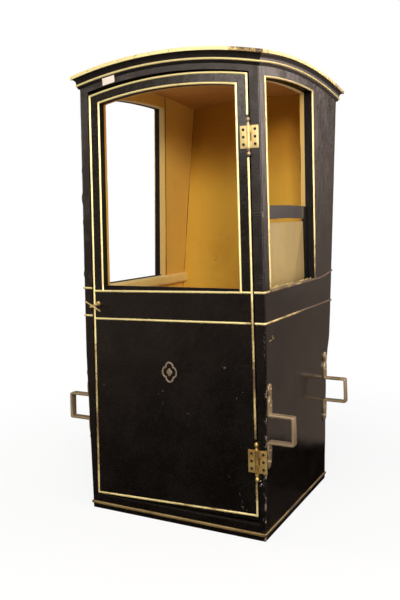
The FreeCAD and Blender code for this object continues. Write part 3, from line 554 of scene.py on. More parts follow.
# %% [markdown]
# ## From numbers to a mesh
# Every new piece is a grid of points, or a few of them. A grid's cells are its faces, and a
# mask can leave cells out, as for a window. The helper welds what meets, turns all faces
# outwards and marks only real corners as sharp.

# %% Meshes from grids
def grid_faces(rows, cols, round_cols=False):
    """Corner numbers of each cell: point (i, j) has number i * cols + j."""
    i, j = np.meshgrid(np.arange(rows - 1), np.arange(cols if round_cols else cols - 1),
                       indexing="ij")
    right = (j + 1) % cols
    corners = [i * cols + j, i * cols + right, (i + 1) * cols + right, (i + 1) * cols + j]
    return np.stack(corners, -1).reshape(-1, 4)


def joined(*shells):
    """Several (points, faces) pairs as one."""
    starts = np.cumsum([0] + [len(points) for points, faces in shells[:-1]])
    return (np.concatenate([points for points, faces in shells]),
            np.concatenate([faces + start for (points, faces), start in zip(shells, starts)]))


def make_piece(name, shell, body, material, replaced=(), sharp=35, values=None):
    """A finished object from (points, faces). Values are painted on the points by name, each
    an array or a function of the points. An array for a skin's outer grid serves its inner
    one too."""
    points, faces = shell
    whole = len(points)
    used, faces = np.unique(faces, return_inverse=True)
    faces = faces.reshape(-1, 4)
    points = np.asarray(points, float)[used]
    mesh = bpy.data.meshes.new(name)
    mesh.vertices.add(len(points))
    mesh.vertices.foreach_set("co", points.ravel())
    mesh.loops.add(faces.size)
    mesh.loops.foreach_set("vertex_index", faces.ravel().astype(np.int32))
    mesh.polygons.add(len(faces))
    mesh.polygons.foreach_set("loop_start", np.arange(0, faces.size, 4, dtype=np.int32))
    mesh.update(calc_edges=True)
    for label, painted in (values or {}).items():
        layer = mesh.attributes.new(label, "FLOAT", "POINT")
        painted = painted(points) if callable(painted) else np.resize(painted, whole)[used]
        layer.data.foreach_set("value", np.asarray(painted, float))
    work = bmesh.new()
    work.from_mesh(mesh)
    bmesh.ops.remove_doubles(work, verts=work.verts, dist=2e-6)
    bmesh.ops.recalc_face_normals(work, faces=work.faces)
    work.to_mesh(mesh)
    work.free()
    mesh.polygons.foreach_set("use_smooth", np.ones(len(mesh.polygons), bool))
    mesh.set_sharp_from_angle(angle=np.radians(sharp))
    made = placed(name, mesh)
    mesh.materials.append(material)
    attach(made, body)
    if replaced:
        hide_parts(*replaced)
    print(f"{name}: {len(mesh.polygons)} faces on {body}")
    return made


def waves(points, seed, length, depth):
    """A soft uneven surface: the sum of plane waves cos(k . p + phase) in random directions
    whose wavelengths are near the given length, scaled to the given depth."""
    dice, count = np.random.default_rng(seed), 14
    ways = dice.normal(size=(count, 3))
    ways *= (2 * np.pi / length) * dice.uniform(0.6, 1.6, (count, 1)) / np.linalg.norm(
        ways, axis=1, keepdims=True)
    phases = dice.uniform(0, 2 * np.pi, count)
    return depth * np.cos(points @ ways.T + phases).sum(-1) / np.sqrt(count)


# %% [markdown]
# ## Skins
# A skin is thin but closed: an outer grid, an inner grid just under the timber's face, and a
# rim round every edge. The grid's lines are bent so that they run along the window's edges,
# and the cells inside the window are left out. That keeps the opening clean without cutting.

# %% Skins with openings
def steps(*counts):
    """Grid parameters from 0 to len(counts), with each unit divided into its own count."""
    runs = [k + np.arange(count) / count for k, count in enumerate(counts)]
    return np.concatenate(runs + [[len(counts)]])


def between(t, lines):
    """Read row parameter t between stacked lines: straight blends of line k and line k+1."""
    lines = np.stack(np.broadcast_arrays(*lines))
    k = np.minimum(t.astype(int), len(lines) - 2)
    share = (t - k)[:, None]
    rows = (np.arange(len(t)),) if lines.ndim == 3 else ()
    return lines[(k, *rows)] * (1 - share) + lines[(k + 1, *rows)] * share


def kept_cells(t, s, *holes):
    """Which cells stay: all but those in the holes, each (row unit, column unit)."""
    t_unit = np.minimum(((t[1:] + t[:-1]) / 2).astype(int), int(t[-1]) - 1)
    s_unit = np.minimum(((s[1:] + s[:-1]) / 2).astype(int), int(s[-1]) - 1)
    kept = np.ones((len(t) - 1, len(s) - 1), bool)
    for row, column in holes:
        kept &= ~((t_unit[:, None] == row) & (s_unit[None, :] == column))
    return kept


def skin(outer, inner, kept=None):
    """A closed skin between two grids of the same shape."""
    rows, cols = outer.shape[:2]
    faces = grid_faces(rows, cols)
    if kept is not None:
        faces = faces[kept.ravel()]
    count = rows * cols
    edges = np.concatenate([faces[:, [k, (k + 1) % 4]] for k in range(4)])
    keys = edges.min(1) * count + edges.max(1)
    _, first, counts = np.unique(keys, return_index=True, return_counts=True)
    rim = edges[first[counts == 1]]
    walls = np.stack([rim[:, 1], rim[:, 0], rim[:, 0] + count, rim[:, 1] + count], 1)
    points = np.concatenate([outer.reshape(-1, 3), inner.reshape(-1, 3)])
    return points, np.concatenate([faces, faces[:, ::-1] + count, walls])


def spots(points, places, size):
    """Painted marks: a sum of round bumps exp(-(d / size)^2) at the places, each with its
    own strength as a fourth number."""
    total = np.zeros(points.shape[:-1])
    for x, y, z, strength in places:
        gap = np.linalg.norm(points - (x, y, z), axis=-1)
        total += strength * np.exp(-(gap / size) ** 2)
    return total


# %% [markdown]
# ### The cabin's skin
# One hide covers each half of the cabin. It starts at the door jamb, turns the front corner,
# runs along the side round the window, turns the rear corner and ends at a seam up the
# middle of the back. Its foot follows the taper of the walls, and its head is tucked under
# the cornice. It swells and dips by a few tenths of a millimetre, as hide over boards does.

# %% Cabin skins
CORNER = 0.0045
torn = [(0.353, FRONT, z, s) for z, s in (
    (0.587, .5), (0.52, .4), (0.41, .45), (0.30, .5), (0.245, .5), (0.16, .5), (0.09, .45),
    (0.03, .3))]
lifted_edge = [(-0.36, FRONT, 1.248, .8), (-0.36, FRONT, 1.151, 1.3), (-0.36, FRONT, 1.134, .9),
               (-0.36, FRONT, 1.05, .5), (-0.36, FRONT, 0.861, .7)]


def plan_at(s, z, off, radius):
    """Plan of half the cabin's outline, right half: column units are 0 jamb, 1 corner,
    2 side, 3 window, 4 behind the window, 5 rear corner, 6 back, 7 middle of the back."""
    x_wall, y_front, y_back = wall_x(z) + off, FRONT - off, rear_y(z) + off
    turn_x = x_wall - radius
    share = s % 1
    window_y = window_rear(z)
    quarter = share * np.pi / 2
    legs = [
        (JAMB + (turn_x - JAMB) * share, y_front),
        (turn_x + radius * np.sin(quarter), y_front + radius * (1 - np.cos(quarter))),
        (x_wall, y_front + radius + (POST_BACK - y_front - radius) * share),
        (x_wall, POST_BACK + (window_y - POST_BACK) * share),
        (x_wall, window_y + (y_back - radius - window_y) * share),
        (turn_x + radius * np.cos(quarter), y_back - radius * (1 - np.sin(quarter))),
        (turn_x * (1 - share), y_back)]
    unit = np.minimum(s.astype(int), 6)
    x, y = (np.choose(unit, [np.broadcast_to(leg[axis], s.shape) for leg in legs])
            for axis in (0, 1))
    last = s >= 7
    return np.where(last, 0.0, x), np.where(last, y_back, y)


t_rows, s_cols = steps(62, 44, 6), steps(5, 4, 7, 34, 22, 4, 26)
s_grid = np.broadcast_to(s_cols, (len(t_rows), len(s_cols))).copy()


def cabin_grid(off, radius):
    """Points of the half skin: heights blend foot, sill, window head and tucked top."""
    z = between(t_rows, [HEM, SILL, 1.52, 1.56 + 0 * s_cols])
    for _ in range(3):
        x, y = plan_at(s_grid, z, off, radius)
        head = window_head(np.clip(y, POST_BACK, WINDOW_HEAD))
        on_side = (s_grid > 1.5) & (s_grid < 5.5)
        top = np.where(on_side, side_arch(y, 0.0, TUCK), front_arch(np.minimum(x, HALF), TUCK))
        z = between(t_rows, [HEM, SILL, head, top])
    return at(x, y, z)


plain, deep = cabin_grid(0.0, CORNER - HIDE), cabin_grid(-0.0006, 0.002)
outward = unit(cabin_grid(HIDE, CORNER) - plain)
kept = kept_cells(t_rows, s_cols, (1, 3))
for side, sign in (("left", -1), ("right", 1)):
    flip = np.array([sign, 1, 1])
    here = plain * flip
    swell = HIDE + waves(here, 3 + sign, 0.17, 0.00028) + waves(here, 8 + sign, 0.05, 0.00014)
    loose = spots(here, lifted_edge, 0.006) * 0.004
    outer = here + outward * flip * (np.maximum(swell, THINNEST) + loose)[..., None]
    corner_gap = np.hypot(plain[..., 0] - wall_x(plain[..., 2]),
                          np.minimum(abs(plain[..., 1] - FRONT),
                                     abs(plain[..., 1] - rear_y(plain[..., 2]))))
    edge = np.exp(-(corner_gap / 0.004) ** 2) + 0.4 * np.exp(-plain[..., 2] / 0.008)
    edge *= 0.30 + 0.42 * (1 - np.clip(plain[..., 2] / 0.8, 0, 1)) + waves(here, 14, 0.05, 0.30)
    scuffs_and_shade = spots(here, torn, 0.011)
    made = make_piece(
        f"cabin_skin_{side}", skin(outer, deep * flip, kept), "cabin", side_hide,
        values={"edge": edge, "scuffs_and_shade": scuffs_and_shade})
    made.data.materials.append(post_hide)
    made.data.materials.append(front_hide)
    normals, centres = np.zeros((2, len(made.data.polygons) * 3))
    made.data.polygons.foreach_get("normal", normals)
    made.data.polygons.foreach_get("center", centres)
    faces_front = normals.reshape(-1, 3)[:, 1] < -0.7
    below_waist = centres.reshape(-1, 3)[:, 2] < WAIST_HIGH
    made.data.polygons.foreach_set(
        "material_index", (faces_front * (1 + below_waist)).astype(np.int32))

# %% [markdown]
# ### The frieze, the sill board and the door
# Above the door the hide fills the space between the door's arch and the cornice, and below
# it covers the base frame. The door has its own skin with the window left out. Its rows are
# sheared, because the old door has dropped on the latch side.

# %% Skins of the front
def front_skin(name, x, lines, rows, body, seed, marks=(), t=None, kept=None,
               material=front_hide):
    t = steps(rows) if t is None else t
    z = between(t, lines)
    bare = at(x, FRONT, z)
    swell = HIDE + waves(bare, seed, 0.16, 0.00030) + waves(bare, seed + 1, 0.045, 0.00012)
    outer, inner = at(x, FRONT - np.maximum(swell, THINNEST), z), at(x, FRONT + 0.0005, z)
    make_piece(name, skin(outer, inner, kept), body, material,
               values={"scuffs_and_shade": spots(bare, marks, 0.0095)})


across = np.linspace(-JAMB, JAMB, 80)
front_skin("frieze_skin", across,
           [front_arch(across, DOOR_DROP - DOOR_GAP), front_arch(across, TUCK)], 4,
           "cabin", 21, material=frieze_hide)
front_skin("sill_skin", across, [HEM + 0 * across, FLOOR - 0.001], 6, "cabin", 23)

s_door, t_door = steps(8, 84, 8), steps(104, 52, 8)
x_door = np.interp(s_door, range(4), [-DOOR_EDGE, -PANE_EDGE, PANE_EDGE, DOOR_EDGE])
door_lines = [sagged(x_door, height) for height in (
    DOOR_FOOT, SILL, front_arch(np.minimum(abs(x_door), PANE_EDGE), PANE_DROP),
    front_arch(x_door, DOOR_DROP))]
struck = [(0.211, FRONT, 0.555, .72), (-0.033, FRONT, 0.454, .62), (-0.034, FRONT, 0.409, .66),
          (0.068, FRONT, 0.386, .6), (0.228, FRONT, 0.492, .5), (0.255, FRONT, 0.471, .5),
          (-0.282, FRONT, 0.455, .55), (0.268, FRONT, 0.091, .6), (0.262, FRONT, 0.105, .55),
          (-0.05, FRONT, 0.475, .45), (0.14, FRONT, 0.33, .42), (0.29, FRONT, 0.40, .45),
          (0.285, FRONT, 0.19, .5), (-0.20, FRONT, 0.36, .38)]
door_kept = kept_cells(t_door, s_door, (1, 1))
front_skin("door_skin", x_door, door_lines, None, "door", 31, struck, t_door, door_kept)

# %% [markdown]
# ### The roof
# The roof is a shallow dome of thin boards under three strips of hide, sewn with raised
# seams that run from front to back. The whole board is made again here with its seams, and
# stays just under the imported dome.

# %% Roof
rim = OVERHANG - 0.003
xx, yy = np.meshgrid(
    np.linspace(-HALF - rim, HALF + rim, 121), np.linspace(REAR + rim, -REAR - rim, 131))
seams = sum(np.exp(-((xx - place) / 0.0035) ** 2) for place in (-0.135, 0.135))
flat_points = at(xx, yy, 0)
dip = 0.0021 - 0.0013 * seams + waves(flat_points, 41, 0.19, 0.0004) + waves(
    flat_points, 42, 0.05, 0.00016)
top, under = (at(xx, yy, roof_top(xx, yy, drop)) for drop in (np.clip(dip, 0.0002, 0.004), 0.013))
border = np.minimum(HALF + rim - abs(xx), REAR + rim - abs(yy))
make_piece("roof_skin", skin(top, under), "cabin", roof_hide, ["roof_board"],
           values={"edge": np.exp(-border / 0.012) + 0.5 * seams})

# %% [markdown]
# ## Beads and mouldings
# A bead is a half-round strip. Its section is (w/2 cos a, r sin a), carried along a path with
# mitred corners: at a corner the sideways vector is (n1 + n2) / (1 + n1 . n2), which keeps the
# strip's width. Hand work is never quite even, so its rise wanders a little.

# %% Strips carried along a path
def mitres(path, normal, closed):
    """Sideways vectors along a flat path: normal x direction, drawn out at the corners."""
    ahead = np.roll(path, -1, 0) - path
    if not closed:
        ahead[-1] = ahead[-2]
    side = unit(np.cross(normal, ahead))
    before = np.roll(side, 1, 0)
    if not closed:
        before[0] = side[0]
    return (side + before) / (1 + np.sum(side * before, axis=1, keepdims=True))


def capped(rings):
    """Rings of points as a shell, each end closed in its ring's middle."""
    ends = [np.broadcast_to(rings[k].mean(0), rings[k].shape)[None] for k in (0, -1)]
    rings = np.concatenate([ends[0], rings, ends[1]])
    return rings.reshape(-1, 3), grid_faces(len(rings), rings.shape[1], True)


def carried(path, sides, outs, section, closed=False):
    """A closed strip: point = path + a * side + b * out for each (a, b) of the section, which
    may be one for all points of the path or one for each."""
    sides, outs = (np.broadcast_to(ways, path.shape) for ways in (sides, outs))
    points = path[:, None] + section[..., :1] * sides[:, None] + section[..., 1:] * outs[:, None]
    if not closed:
        return capped(points)
    rows, cols = points.shape[:2]
    return points.reshape(-1, 3), grid_faces(rows + 1, cols, True) % (rows * cols)


def half_round(path, seed, width=BEAD):
    """One half-round section for each point of the path, its rise wandering a little."""
    angles = np.linspace(0, np.pi, 9)
    wander = 1 + waves(path, seed, 0.12, 0.05) + waves(path, seed + 1, 0.02, 0.02)
    curve = np.stack([width / 2 * np.cos(angles), BEAD_RISE * np.sin(angles)], -1)
    base = np.array([(-width / 2, -0.0008), (width / 2, -0.0008)])
    stretch = np.stack([np.ones_like(wander), wander], -1)[:, None]
    return np.minimum(np.concatenate([curve, base]) * stretch, BEAD_RISE)


def bead(path, normal, closed, seed):
    """A half-round bead that lies on a face with this normal."""
    return carried(path, mitres(path, normal, closed), normal, half_round(path, seed), closed)


def run(start, end, step=0.02, last=True):
    """Points of a straight run between two points."""
    start, end = np.array(start, float), np.array(end, float)
    count = max(2, int(np.linalg.norm(end - start) / step) + 1)
    return np.linspace(start, end, count)[:None if last else -1]


def worn_and_shaded_gilt(points, more=0.0):
    """Gilding wears towards the floor and where hands and weather reach it, and it is painted
    darker lower down, most on the outside of the walls, as painted shade: a painted value that
    adds up a share for low places, which start higher on the door's hinge side, one for the
    outside of the walls, more towards the back, and slow patches."""
    height = points[:, 2]
    hinged = np.clip((points[:, 0] - 0.25) / 0.05, 0, 1) * (points[:, 0] < DOOR_EDGE)
    low = np.clip((0.70 + 0.12 * hinged - height) / 0.15, 0, 1) - 0.4 * np.clip(
        (0.16 - height) / 0.04, 0, 1)
    outside = np.clip((abs(points[:, 0]) - HALF) / 0.002, 0, 1) * np.clip(
        (1.0 - height) / 0.2, 0, 1)
    back = np.clip((points[:, 1] - FRONT) / 0.5, 0, 1)
    return more + (0.19 + 0.045 * hinged) * low + outside * (0.17 + 0.18 * back) + waves(
        points, 15, 0.15, 0.025)


def leg_by_leg(points, closed=False):
    """Straight runs from stop to stop."""
    stops = list(points) + ([points[0]] if closed else [])
    legs = [run(a, b, last=False) for a, b in zip(stops[:-1], stops[1:])]
    return np.concatenate(legs + ([] if closed else [np.array([stops[-1]], float)]))


def looped(curve, *stops):
    """A curve made into a loop by straight runs from its end, by the stops, to its start."""
    return np.concatenate([curve[:-1], leg_by_leg([curve[-1], *stops, curve[0]])[:-1]])


# %% [markdown]
# The door's border bead is cut away where the hinges lie, so it is made in two runs: a long
# one from the upper hinge over the head, down the latch side and along the foot to the lower
# hinge, and a short one between the hinges.

# %% Beads of the door
LEAF_TALL = 0.075
HINGE_FEET = [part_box("door_hinge_leaves")[0][2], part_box("door_hinge_leaves")[1][2] - LEAF_TALL]
OVER, UNDER = 0.036, 0.030
FOOT_RISE = 0.012
inset = DOOR_EDGE - BEAD / 2
side_x = np.linspace(inset, -inset, 60)
head_line = at(side_x, FRONT, sagged(side_x, front_arch(side_x, DOOR_DROP + BEAD / 2)))
foot_corners = [at(x, FRONT, sagged(x, DOOR_FOOT + BEAD / 2) + FOOT_RISE * (x > 0))
                for x in (-inset, inset)]
long_run = np.concatenate([
    run(at(inset, FRONT, HINGE_FEET[1] + LEAF_TALL + OVER), head_line[0], last=False),
    head_line[:-1],
    leg_by_leg([head_line[-1], *foot_corners, at(inset, FRONT, HINGE_FEET[0] - UNDER)])])
short_run = run(*(at(inset, FRONT, z) for z in (
    HINGE_FEET[0] + LEAF_TALL + OVER, HINGE_FEET[1] - UNDER)))
pane_in = PANE_EDGE + BEAD / 2
pane_x = np.linspace(pane_in, -pane_in, 54)
pane_head = at(pane_x, FRONT, sagged(pane_x, front_arch(pane_x, PANE_DROP - BEAD / 2)))
pane_loop = looped(pane_head, *(at(x, FRONT, sagged(x, WAIST_HIGH)) for x in (-pane_in, pane_in)))
waist_runs = [run(*(at(x, FRONT, sagged(x, z)) for x in (0.003 - inset, inset - 0.003)))
              for z in (WAIST_LOW, WAIST_HIGH)]
door_paths = (long_run, short_run, pane_loop, *waist_runs)
make_piece("door_beading",
    joined(*[bead(path, OUTWARD, path is pane_loop, 51 + k) for k, path in enumerate(door_paths)]),
    "door", gilt, ["door_beads"], sharp=50, values={"edge": worn_and_shaded_gilt})

# %% [markdown]
# Round the cabin the beads are level rings. There the sideways vector is simply up, and the
# outward one is mitred in plan, so a bead turns the corner sharply. The upper waist bead
# rises towards the back on a gentle arc.

# %% Beads of the cabin
def ring_bead(path, closed, seed, width=BEAD):
    """A bead that lies round the cabin: up is its sideways vector."""
    outs = -mitres(path * (1, 1, 0), UP, closed)
    if np.sum(outs * path * (1, 1, 0)) < 0:
        outs = -outs
    return carried(path, UP, outs, half_round(path, seed, width), closed)


def corners_at(z):
    x, y = wall_x(z), rear_y(z)
    return [(x, FRONT, z), (x, y, z), (-x, y, z), (-x, FRONT, z)]


PLINTH = 0.021
plinth = leg_by_leg(corners_at(PLINTH), True)
make_piece("plinth_beading", ring_bead(plinth, True, 61, 0.0125), "cabin", dull_gilt,
           ["plinth_bead"], sharp=50, values={"edge": lambda points: 0.07 + waves(
               points, 62, 0.25, 0.06) + 0.22 * (abs(points[:, 0]) > FOOT_HALF + 0.004)})
waist = leg_by_leg([(JAMB, FRONT, WAIST_LOW), *corners_at(WAIST_LOW), (-JAMB, FRONT, WAIST_LOW)])
make_piece("waist_beading", ring_bead(waist, False, 63), "cabin", gilt, ["waist_bead"],
           sharp=50, values={"edge": worn_and_shaded_gilt})
high = WAIST_HIGH + WAIST_LIFT
back_y = rear_y(high)
make_piece("back_beading", ring_bead(run((-HALF, back_y, high), (HALF, back_y, high)), False, 64),
           "cabin", gilt, ["back_bead"], sharp=50,
           values={"edge": lambda points: worn_and_shaded_gilt(points, 0.12)})

for side, sign in (("left", -1), ("right", 1)):
    lift = arc((WINDOW_FOOT, WAIST_HIGH), (back_y + BEAD_RISE, high), -1.150, 20)
    lifted = at(HALF, *lift.T)
    line = np.concatenate([
        run((JAMB, FRONT, WAIST_HIGH), (HALF, FRONT, WAIST_HIGH), 0.006, last=False),
        run((HALF, FRONT, WAIST_HIGH), lifted[0], last=False), lifted]) * (sign, 1, 1)
    y_loop = np.linspace(WINDOW_HEAD + BEAD / 2, POST_BACK - BEAD / 2, 44)
    crown = at(HALF, y_loop, window_head(y_loop, BEAD / 2))
    loop = looped(crown, *((HALF, y, WAIST_HIGH) for y in (
        POST_BACK - BEAD / 2, WINDOW_FOOT + BEAD / 2))) * (sign, 1, 1)
    make_piece(f"window_beading_{side}", joined(ring_bead(line, False, 65),
        bead(loop, sign * SIDEWARD, True, 66)), "cabin", shaded_window_gilt,
        [f"window_bead_{side}"], sharp=50, values={"edge": worn_and_shaded_gilt})

# %% [markdown]
# A moulding under the roof follows the arch on each side. Each point of its section has a
# reach from the wall and a drop from the roof's edge, and both ends stop where reach along
# and reach across are equal, which is a true mitre on a curved cornice.

# %% Cornice bead and roof strip
PLACES, ACROSS_X = ("front", "rear", "left", "right"), ("front", "rear")


def on_edge(place, along, reach, drop):
    """Points along one side of the roof's edge, and the way out from there."""
    sign = -1 if place in ("front", "left") else 1
    if place in ACROSS_X:
        return at(along, sign * (REAR + reach), front_arch(along, drop)), -sign * OUTWARD
    return at(sign * (HALF + reach), along, side_arch(along, reach, drop)), sign * SIDEWARD


def cornice_run(place, section, uneven, count=70, seed=71):
    """Points of a section carried along one side of the roof's edge: along = u * (half +
    reach), height from the front or side arch at that drop."""
    reach, drop = section[:, 0], section[:, 1]
    u = np.linspace(-1, 1, count)[:, None]
    points, out = on_edge(place, u * ((HALF if place in ACROSS_X else REAR) + reach), reach, drop)
    rows = points.mean(1)
    shift = np.minimum(waves(rows, seed, 0.07, uneven), uneven)[:, None, None]
    return capped(points + shift * out * (reach > reach.min() + 1e-4)[None, :, None])


angles = np.linspace(-np.pi / 2, np.pi / 2, 9)
SEAT = 0.008
bead_section = np.stack([SEAT + 0.0002 + BEAD_RISE * np.cos(angles),
                         0.037 + 0.004 * np.sin(angles)], -1)
bead_section = np.concatenate([bead_section, [(SEAT - 0.0002, 0.041), (SEAT - 0.0002, 0.033)]])
make_piece("cornice_beading", joined(*[cornice_run(place, bead_section, 0.0002)
                                       for place in PLACES]),
           "cabin", gilt, ["cornice_bead"], sharp=50)

strip_section = np.array([(-0.0035, 0.0004), (-0.0015, 0.0004), (-0.0011, 0.0010),
    (-0.0009, 0.0035), (-0.0011, 0.0065), (-0.0009, 0.0095), (-0.0011, 0.0120), (-0.0015, 0.0128),
    (-0.0035, 0.0128)]) + (OVERHANG, 0)
strips, strip_edges = [], []
for number, place in enumerate(PLACES):
    strip = cornice_run(place, strip_section, 0.0004, 110, 73 + number)
    strips.append(strip)
    x, y = strip[0][:, 0], strip[0][:, 1]
    dull = 0.18 * np.clip((x - 0.262) / 0.004, 0, 1) if place == "front" else 0.05 + 0.2 * np.clip(
        (y - 0.30) / 0.15, 0, 1)
    strip_edges.append(np.broadcast_to(dull + 0.03, x.shape))
make_piece("roof_strip", joined(*strips), "cabin", gilt, ["roof_edge_strip"], sharp=40,
           values={"edge": np.concatenate(strip_edges)})

# %% [markdown]
# ## Turned and flat metal
# Hinge barrels, finials and the latch's spindle were turned on a lathe: a profile of (radius,
# height) points spun round an axis. Leaves and bars are flat outlines with eased edges, made of
# stacked copies of the outline, the last ones drawn in.

# %% Lathe and plate
def turned(profile, centre, axis=(0, 0, 1), count=20):
    """A profile of (radius, height) points spun about an axis through the centre."""
    axis = Vector(axis).normalized()
    turn = np.array(axis.to_track_quat("Z", "Y").to_matrix())
    radius, height = np.array(profile, float).T
    around = circle(count)
    rings = at(radius[:, None] * np.cos(around), radius[:, None] * np.sin(around), height[:, None])
    return capped(rings @ turn.T + np.array(centre))


def plate(outline, back, front, ease, axes=(0, 2), depth_axis=1):
    """A flat piece: the outline at the back and at the eased front edge, then drawn in."""
    flat = np.zeros((len(outline), 3))
    flat[:, axes] = outline
    side = mitres(flat, np.eye(3)[depth_axis], True)
    if np.sum(side * (flat - flat.mean(0))) < 0:
        side = -side
    step = ease if front > back else -ease
    levels = [(back, 0.0), (front - step, 0.0), (front - 0.3 * step, 0.3 * ease), (front, ease)]
    rings = np.stack([flat - side * inward for depth, inward in levels])
    rings[..., depth_axis] = np.array(levels)[:, :1]
    return capped(rings)


def rounded_box(x0, x1, z0, z1, radius):
    """The outline of a rectangle with rounded corners."""
    middles = np.array([(x1 - radius, z1 - radius), (x0 + radius, z1 - radius),
                        (x0 + radius, z0 + radius), (x1 - radius, z0 + radius)])
    angles = np.linspace(0, np.pi / 2, 4) + np.pi / 2 * np.arange(4)[:, None]
    rounds = radius * np.stack([np.cos(angles), np.sin(angles)], -1)
    return (middles[:, None] + rounds).reshape(-1, 2)


# %% [markdown]
# ### The hinges
# Each butt hinge has two leaves with three screws, and a barrel of three knuckles: the outer
# two belong to the post and the middle one to the door. The barrel ends in small urns. The
# lower hinge is tarnished, the upper one still bright.

# %% Hinges
KNUCKLE, PIN, LEAF, PLATE = 0.0065, 0.0028, 0.033, 0.0025
THIRD = LEAF_TALL / 3
PIN_FOOT = (HINGE_X, HINGE_Y, 0)
urn = [(0.0060, 0.0), (0.0060, 0.0050), (0.0052, 0.0066), (0.0030, 0.0080), (0.0028, 0.0110),
       (0.0046, 0.0128), (0.0062, 0.0160), (0.0066, 0.0195), (0.0058, 0.0228), (0.0036, 0.0252),
       (0.0022, 0.0268), (0.0012, 0.0276)]
screw = [(0.0050, -0.0004), (0.0050, 0.0003), (0.0042, 0.0004), (0.0036, 0.0001), (0.0010, 0.0001)]


def barrel(low, high):
    """A knuckle: a cylinder with eased rims."""
    return [(KNUCKLE - 0.0008, low), (KNUCKLE, low + 0.0007), (KNUCKLE, high - 0.0007),
            (KNUCKLE - 0.0008, high)]


def bored(low, high):
    """A knuckle with a hole for the pin: the barrel's section carried round a circle."""
    radial = at(np.cos(circle(20)), np.sin(circle(20)), 0)
    section = np.array([(PIN + 0.0004, low), *barrel(low, high), (PIN + 0.0004, high)])
    return carried(PIN_FOOT + 0 * radial, radial, UP, section, True)


dark_screw, shader = new_material("rusted screw")
finish_inputs(shader, {"Base Color": mixed(noise(object_place(), 300.0), (0.006, 0.004, 0.002),
    (0.030, 0.018, 0.009)), "Roughness": 0.7, "Specular IOR Level": 0.2})

for body, sign, node in (("cabin", 1, "post_hinge_leaves"), ("door", -1, "door_hinge_leaves")):
    for name, foot, metal in (("lower", HINGE_FEET[0], dark_brass),
            ("upper", HINGE_FEET[1], brass)):
        near = HINGE_X + sign * 0.0075
        far = HINGE_X + sign * LEAF
        leaf = plate(rounded_box(min(near, far), max(near, far), foot, foot + LEAF_TALL, 0.001),
                     FRONT - 0.0002, FRONT - PLATE, 0.0005)
        shells = [leaf]
        for third in (0, 2) if sign > 0 else (1,):
            low, high = foot + third * THIRD + 0.0002, foot + (third + 1) * THIRD - 0.0002
            shells.append(turned(barrel(low, high), PIN_FOOT) if sign > 0 else bored(low, high))
            inner = HINGE_X + sign * (PIN + 0.0004)
            curl = rounded_box(min(inner, near), max(inner, near), low, high, 0.0005)
            shells.append(plate(curl, FRONT - 0.0004, FRONT - PLATE, 0.0003))
        if sign > 0:
            shells.append(turned([(PIN, foot + THIRD - 0.001),
                                  (PIN, foot + 2 * THIRD + 0.001)], PIN_FOOT))
        make_piece(f"{name}_hinge_{body}", joined(*shells), body, metal, [node],
                   values={"edge": lambda points: 0.10 * (points[:, 1] < FRONT - 0.0035)})
        if sign > 0:
            urns = joined(turned([(r, foot + LEAF_TALL + h) for r, h in urn], PIN_FOOT),
                          turned([(r, foot - h) for r, h in urn], PIN_FOOT))
            make_piece(f"{name}_hinge_finials", urns, "cabin",
                       bronzed_iron if name == "upper" else dark_brass)
        screws = [turned(screw, (HINGE_X + sign * 0.021, FRONT - PLATE, foot + z), OUTWARD, 14)
                  for z in (0.013, 0.0375, 0.062)]
        make_piece(f"{name}_hinge_screws_{body}", joined(*screws), body, dark_screw)

# %% [markdown]
# ### The latch
# A small cross handle turns the bolt. Its bar hangs askew, held off the door by a spindle with
# a rose at its foot and a turned collar.

# %% Latch
LATCH_X, LATCH_Z, SLOPE, DROOP = -0.300, 0.752, np.radians(27), 0.007
STAND_OFF = 0.0314
spindle = [(0.0090, 0.0), (0.0090, 0.0012), (0.0078, 0.0026), (0.0050, 0.0034), (0.0034, 0.005),
           (0.0034, 0.0085), (0.0050, 0.0100), (0.0060, 0.0125), (0.0060, 0.0150),
           (0.0048, 0.0175), (0.0034, 0.0190), (0.0030, STAND_OFF)]
along = np.linspace(-0.036, 0.036, 25)
girth = 0.0027 + 0.0012 * np.exp(-(along / 0.008) ** 2) + 0.0010 * np.exp(
    -((abs(along) - 0.0335) / 0.0028) ** 2)
girth[[0, -1]] *= 0.35
bar_middle = np.array([LATCH_X - 0.002, FRONT - STAND_OFF, LATCH_Z - DROOP])
bar_way = np.array([np.cos(SLOPE), 0, -np.sin(SLOPE)])
bar_line = bar_middle + along[:, None] * bar_way
bar_sections = girth[:, None, None] * np.stack([np.cos(circle(12)), np.sin(circle(12))], -1)
bar = carried(bar_line, [np.sin(SLOPE), 0, np.cos(SLOPE)], OUTWARD, bar_sections)
boss = turned([(0.0010, -0.0055), (0.0040, -0.0045), (0.0058, -0.0015), (0.0058, 0.0015),
               (0.0040, 0.0045), (0.0010, 0.0055)],
              bar_middle - 0.009 * bar_way - (0, 0, 0.0045), OUTWARD, 16)
make_piece("door_latch",
    joined(turned(spindle, (LATCH_X, FRONT, LATCH_Z), (-0.002, -STAND_OFF, -DROOP)), bar, boss),
    "door", dull_gilt, ["latch"])

# %% [markdown]
# ### The pole brackets
# A smith bent each bracket from one strap: a leg up the wall, a square loop for the pole, and a
# leg down. The strap's width changes along it, to a leaf at the top and a point at the foot.
# The section is a rounded rectangle, wide along the cabin and thin across it.

# %% Pole brackets
STRAP, STRAP_WIDTH, STRAP_REACH = 0.0085, 0.029, 0.446


